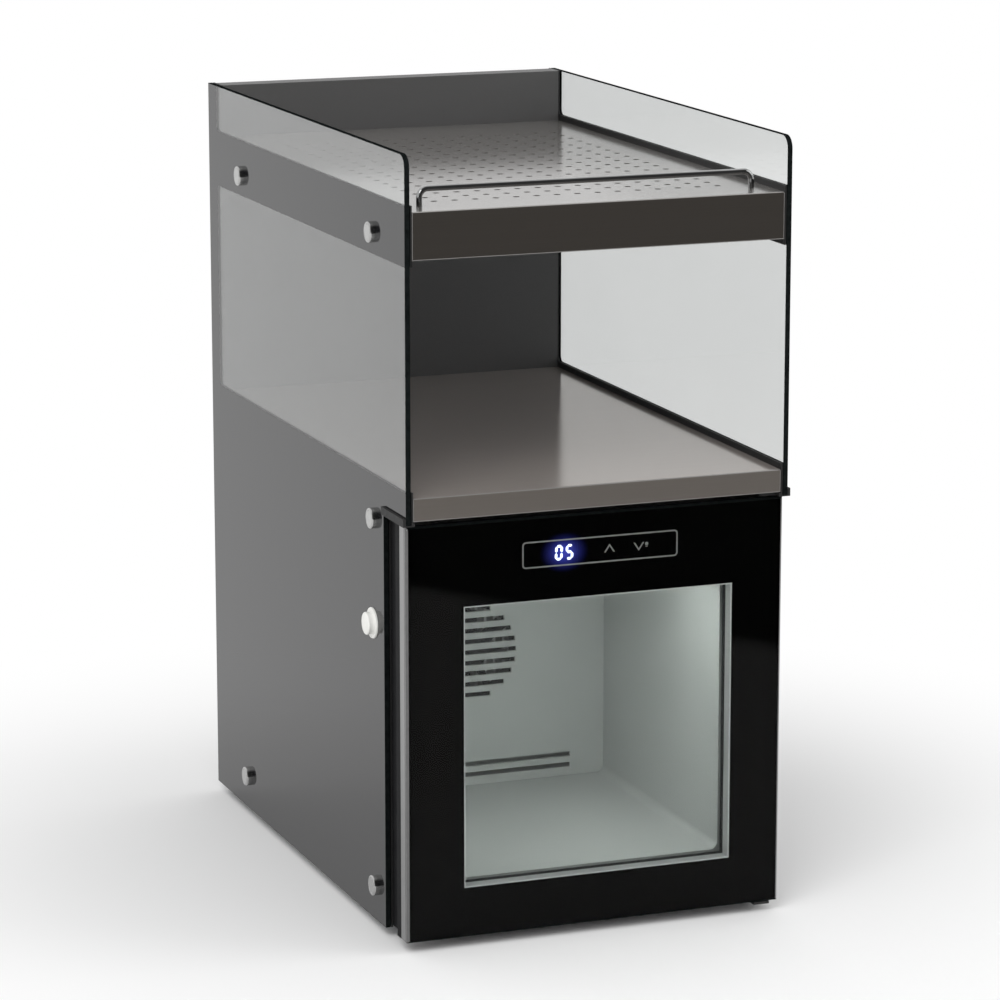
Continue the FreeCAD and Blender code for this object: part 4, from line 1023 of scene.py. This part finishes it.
# Grey ink on the print
# A thin outline round the display, an up and a down sign for the touch keys and a small lamp sign.
# They are screen printed in grey, in front of the black.
ink_grey_dark = (0.20, 0.20, 0.20)
ink_grey_light = (0.26, 0.26, 0.26)
print_thickness = 0.03 * mm
display_margin = 1.2 * mm
line_width = 1.1 * mm
line_corner = 3.0 * mm
print_corner_steps = 6
sign_stroke = 1.0 * mm
sign_half = 3.8 * mm
sign_rise = 2.8 * mm
up_sign_in = 70.8 * mm
down_sign_in = 94.8 * mm
lamp_sign_in = 101.2 * mm
lamp_half = 1.3 * mm
lamp_round = 1.2 * mm
lamp_foot_half = 0.9 * mm
lamp_foot_low = 1.05 * mm
lamp_foot_high = 0.35 * mm


def rounded_rectangle(x0, x1, z0, z1, radius):
    corners = [(x1, z0), (x1, z1), (x0, z1), (x0, z0)]
    points = []
    for i in range(len(corners)):
        after = corners[(i + 1) % len(corners)]
        points += rounded(corners[i - 1], corners[i], after, radius, print_corner_steps)
    return points


def chevron(x, foot_z, tip_z):
    # A bent stroke from one foot over the tip to the other foot.
    slope = math.hypot(sign_half, tip_z - foot_z)
    half_across = sign_stroke / 2 * slope / abs(tip_z - foot_z)
    half_up = math.copysign(sign_stroke / 2 * slope / sign_half, tip_z - foot_z)
    return [
        (x - sign_half - half_across, foot_z), (x, tip_z + half_up), (x + sign_half + half_across, foot_z),
        (x + sign_half - half_across, foot_z), (x, tip_z - half_up), (x - sign_half + half_across, foot_z)]


grey_ink = mottled("grey_ink", ink_grey_dark, ink_grey_light, scale=700.0)
board_low, board_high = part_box("display_board")
print_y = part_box("door_mask")[0].y
outline_x0 = board_low.x + display_margin
outline_x1 = board_high.x - display_margin
outline_z0 = board_low.z + display_margin
outline_z1 = board_high.z - display_margin
bm = bmesh.new()
border = []
for inset in (0, line_width):
    points = rounded_rectangle(
        outline_x0 + inset, outline_x1 - inset, outline_z0 + inset, outline_z1 - inset, line_corner - inset)
    border.append([bm.verts.new((x, print_y, z)) for x, z in points])
sign_z = (outline_z0 + outline_z1) / 2
lamp_x = outline_x0 + lamp_sign_in
foot_z0 = sign_z - lamp_foot_low
foot_z1 = sign_z - lamp_foot_high
sign_outlines = [
    chevron(outline_x0 + up_sign_in, sign_z - sign_rise, sign_z + sign_rise),
    chevron(outline_x0 + down_sign_in, sign_z + sign_rise, sign_z - sign_rise),
    rounded_rectangle(lamp_x - lamp_half, lamp_x + lamp_half, sign_z, sign_z + 2 * lamp_half, lamp_round),
    [(lamp_x - lamp_foot_half, foot_z0), (lamp_x + lamp_foot_half, foot_z0),
     (lamp_x + lamp_foot_half, foot_z1), (lamp_x - lamp_foot_half, foot_z1)],
]
ink_faces = band(bm, *border) + flat_faces(bm, sign_outlines, print_y)
thicken(bm, ink_faces, (0, -print_thickness, 0))
signs = as_object("printed_signs", bm)
signs.data.materials.append(grey_ink)
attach(signs, "door")

# Studio
# A pale table that runs out to white, a broad soft key light from the upper left and a weaker fill from
# the right. Metal and glass that face the front mirror a dark room there, beyond the table's edge.
floor_half = 8.0
floor_tone = (0.90, 0.90, 0.90)
white_from = 0.30
white_to = 0.75
table_side = (0.82, -0.57, 0.0)
table_reach = 0.98
table_edge = 0.02
plain_white = (1.0, 1.0, 1.0, 1.0)
world_light = 0.85
dark_room = 0.06
dark_from = -0.45
dark_to = 0.05
key_place = (-1.6, -1.9, 2.4)
key_size = 1.6
key_power = 34.0
fill_place = (2.2, -1.2, 1.6)
fill_size = 1.4
fill_power = 12.0


def choose(owner, factor, if_zero, if_one):
    return add_node(owner, "ShaderNodeMix", {0: factor, 2: if_zero, 3: if_one}).outputs[0]


def soft_light(name, place, size, power):
    lamp = bpy.data.lights.new(name, "AREA")
    lamp.shape = "SQUARE"
    lamp.size = size
    lamp.energy = power
    light = bpy.data.objects.new(name, lamp)
    light.location = place
    aim = (cad_low + cad_high) / 2 - Vector(place)
    light.rotation_euler = aim.to_track_quat("-Z", "Y").to_euler()
    light.visible_glossy = False
    bpy.context.scene.collection.objects.link(light)


bm = bmesh.new()
bmesh.ops.create_grid(bm, x_segments=1, y_segments=1, size=floor_half)
floor = as_object("floor", bm)
floor_finish = new_finish("floor_finish", floor_tone, roughness=0.9)
set_shader(floor_finish, {"Specular IOR Level": 0.0})
place = own_place(floor_finish)
reach = add_node(floor_finish, "ShaderNodeVectorMath", {0: place}, operation="LENGTH")
outward = add_node(floor_finish, "ShaderNodeVectorMath", {0: place, 1: table_side}, operation="DOT_PRODUCT")
clear = spread(floor_finish, reach.outputs["Value"], white_from, white_to, interpolation_type="SMOOTHSTEP")
beyond = spread(floor_finish, outward.outputs["Value"], table_reach - table_edge, table_reach + table_edge)
rays = add_node(floor_finish, "ShaderNodeLightPath", {}).outputs
mirrored = maths(floor_finish, "SUBTRACT", rays["Is Glossy Ray"], rays["Is Transmission Ray"])
unlit = maths(floor_finish, "MULTIPLY", beyond, mirrored)
white_values = {"Color": plain_white, "Strength": choose(floor_finish, unlit, 1.0, dark_room)}
white = add_node(floor_finish, "ShaderNodeEmission", white_values)
seen = maths(floor_finish, "MAXIMUM", rays["Is Camera Ray"], rays["Is Glossy Ray"])
seen = maths(floor_finish, "MAXIMUM", seen, rays["Is Transmission Ray"])
share = maths(floor_finish, "MULTIPLY", clear, seen)
surface_values = {0: share, 1: shader_of(floor_finish).outputs["BSDF"], 2: white.outputs["Emission"]}
surface = add_node(floor_finish, "ShaderNodeMixShader", surface_values).outputs["Shader"]
floor_output = floor_finish.node_tree.nodes["Material Output"]
floor_finish.node_tree.links.new(surface, floor_output.inputs["Surface"])
floor.data.materials.append(floor_finish)

world = bpy.data.worlds.new("studio_white")
world.use_nodes = True
bpy.context.scene.world = world
background = world.node_tree.nodes["Background"]
background.inputs["Color"].default_value = plain_white
direction = add_node(world, "ShaderNodeTexCoord", {}).outputs["Generated"]
direction_parts = add_node(world, "ShaderNodeSeparateXYZ", {"Vector": direction})
room = spread(world, direction_parts.outputs["Y"], dark_from, dark_to, dark_room, 1.0)
rays = add_node(world, "ShaderNodeLightPath", {}).outputs
direct = maths(world, "MAXIMUM", rays["Is Camera Ray"], rays["Is Transmission Ray"])
reflected = choose(world, rays["Is Glossy Ray"], world_light, room)
strength = choose(world, direct, reflected, 1.0)
world.node_tree.links.new(strength, background.inputs["Strength"])
soft_light("key_light", key_place, key_size, key_power)
soft_light("fill_light", fill_place, fill_size, fill_power)

# Camera
# It stands in front, to the left and a little above the object, as in the photograph, and looks slightly
# down. The lens is long, so that upright edges stay nearly parallel.
camera_place = (-1.16971, -3.09357, 1.01473)
camera_dip = 0.2150
camera_turn = -0.3649
camera_lens = 151.0
camera_sensor = 36.0
camera_data = bpy.data.cameras.new("camera")
camera_data.sensor_width = camera_sensor
camera_data.lens = camera_lens
camera = bpy.data.objects.new("camera", camera_data)
camera.location = camera_place
camera.rotation_euler = (math.pi / 2 - camera_dip, 0, camera_turn)
bpy.context.scene.collection.objects.link(camera)
bpy.context.scene.camera = camera
bpy.context.scene.view_settings.view_transform = "Standard"
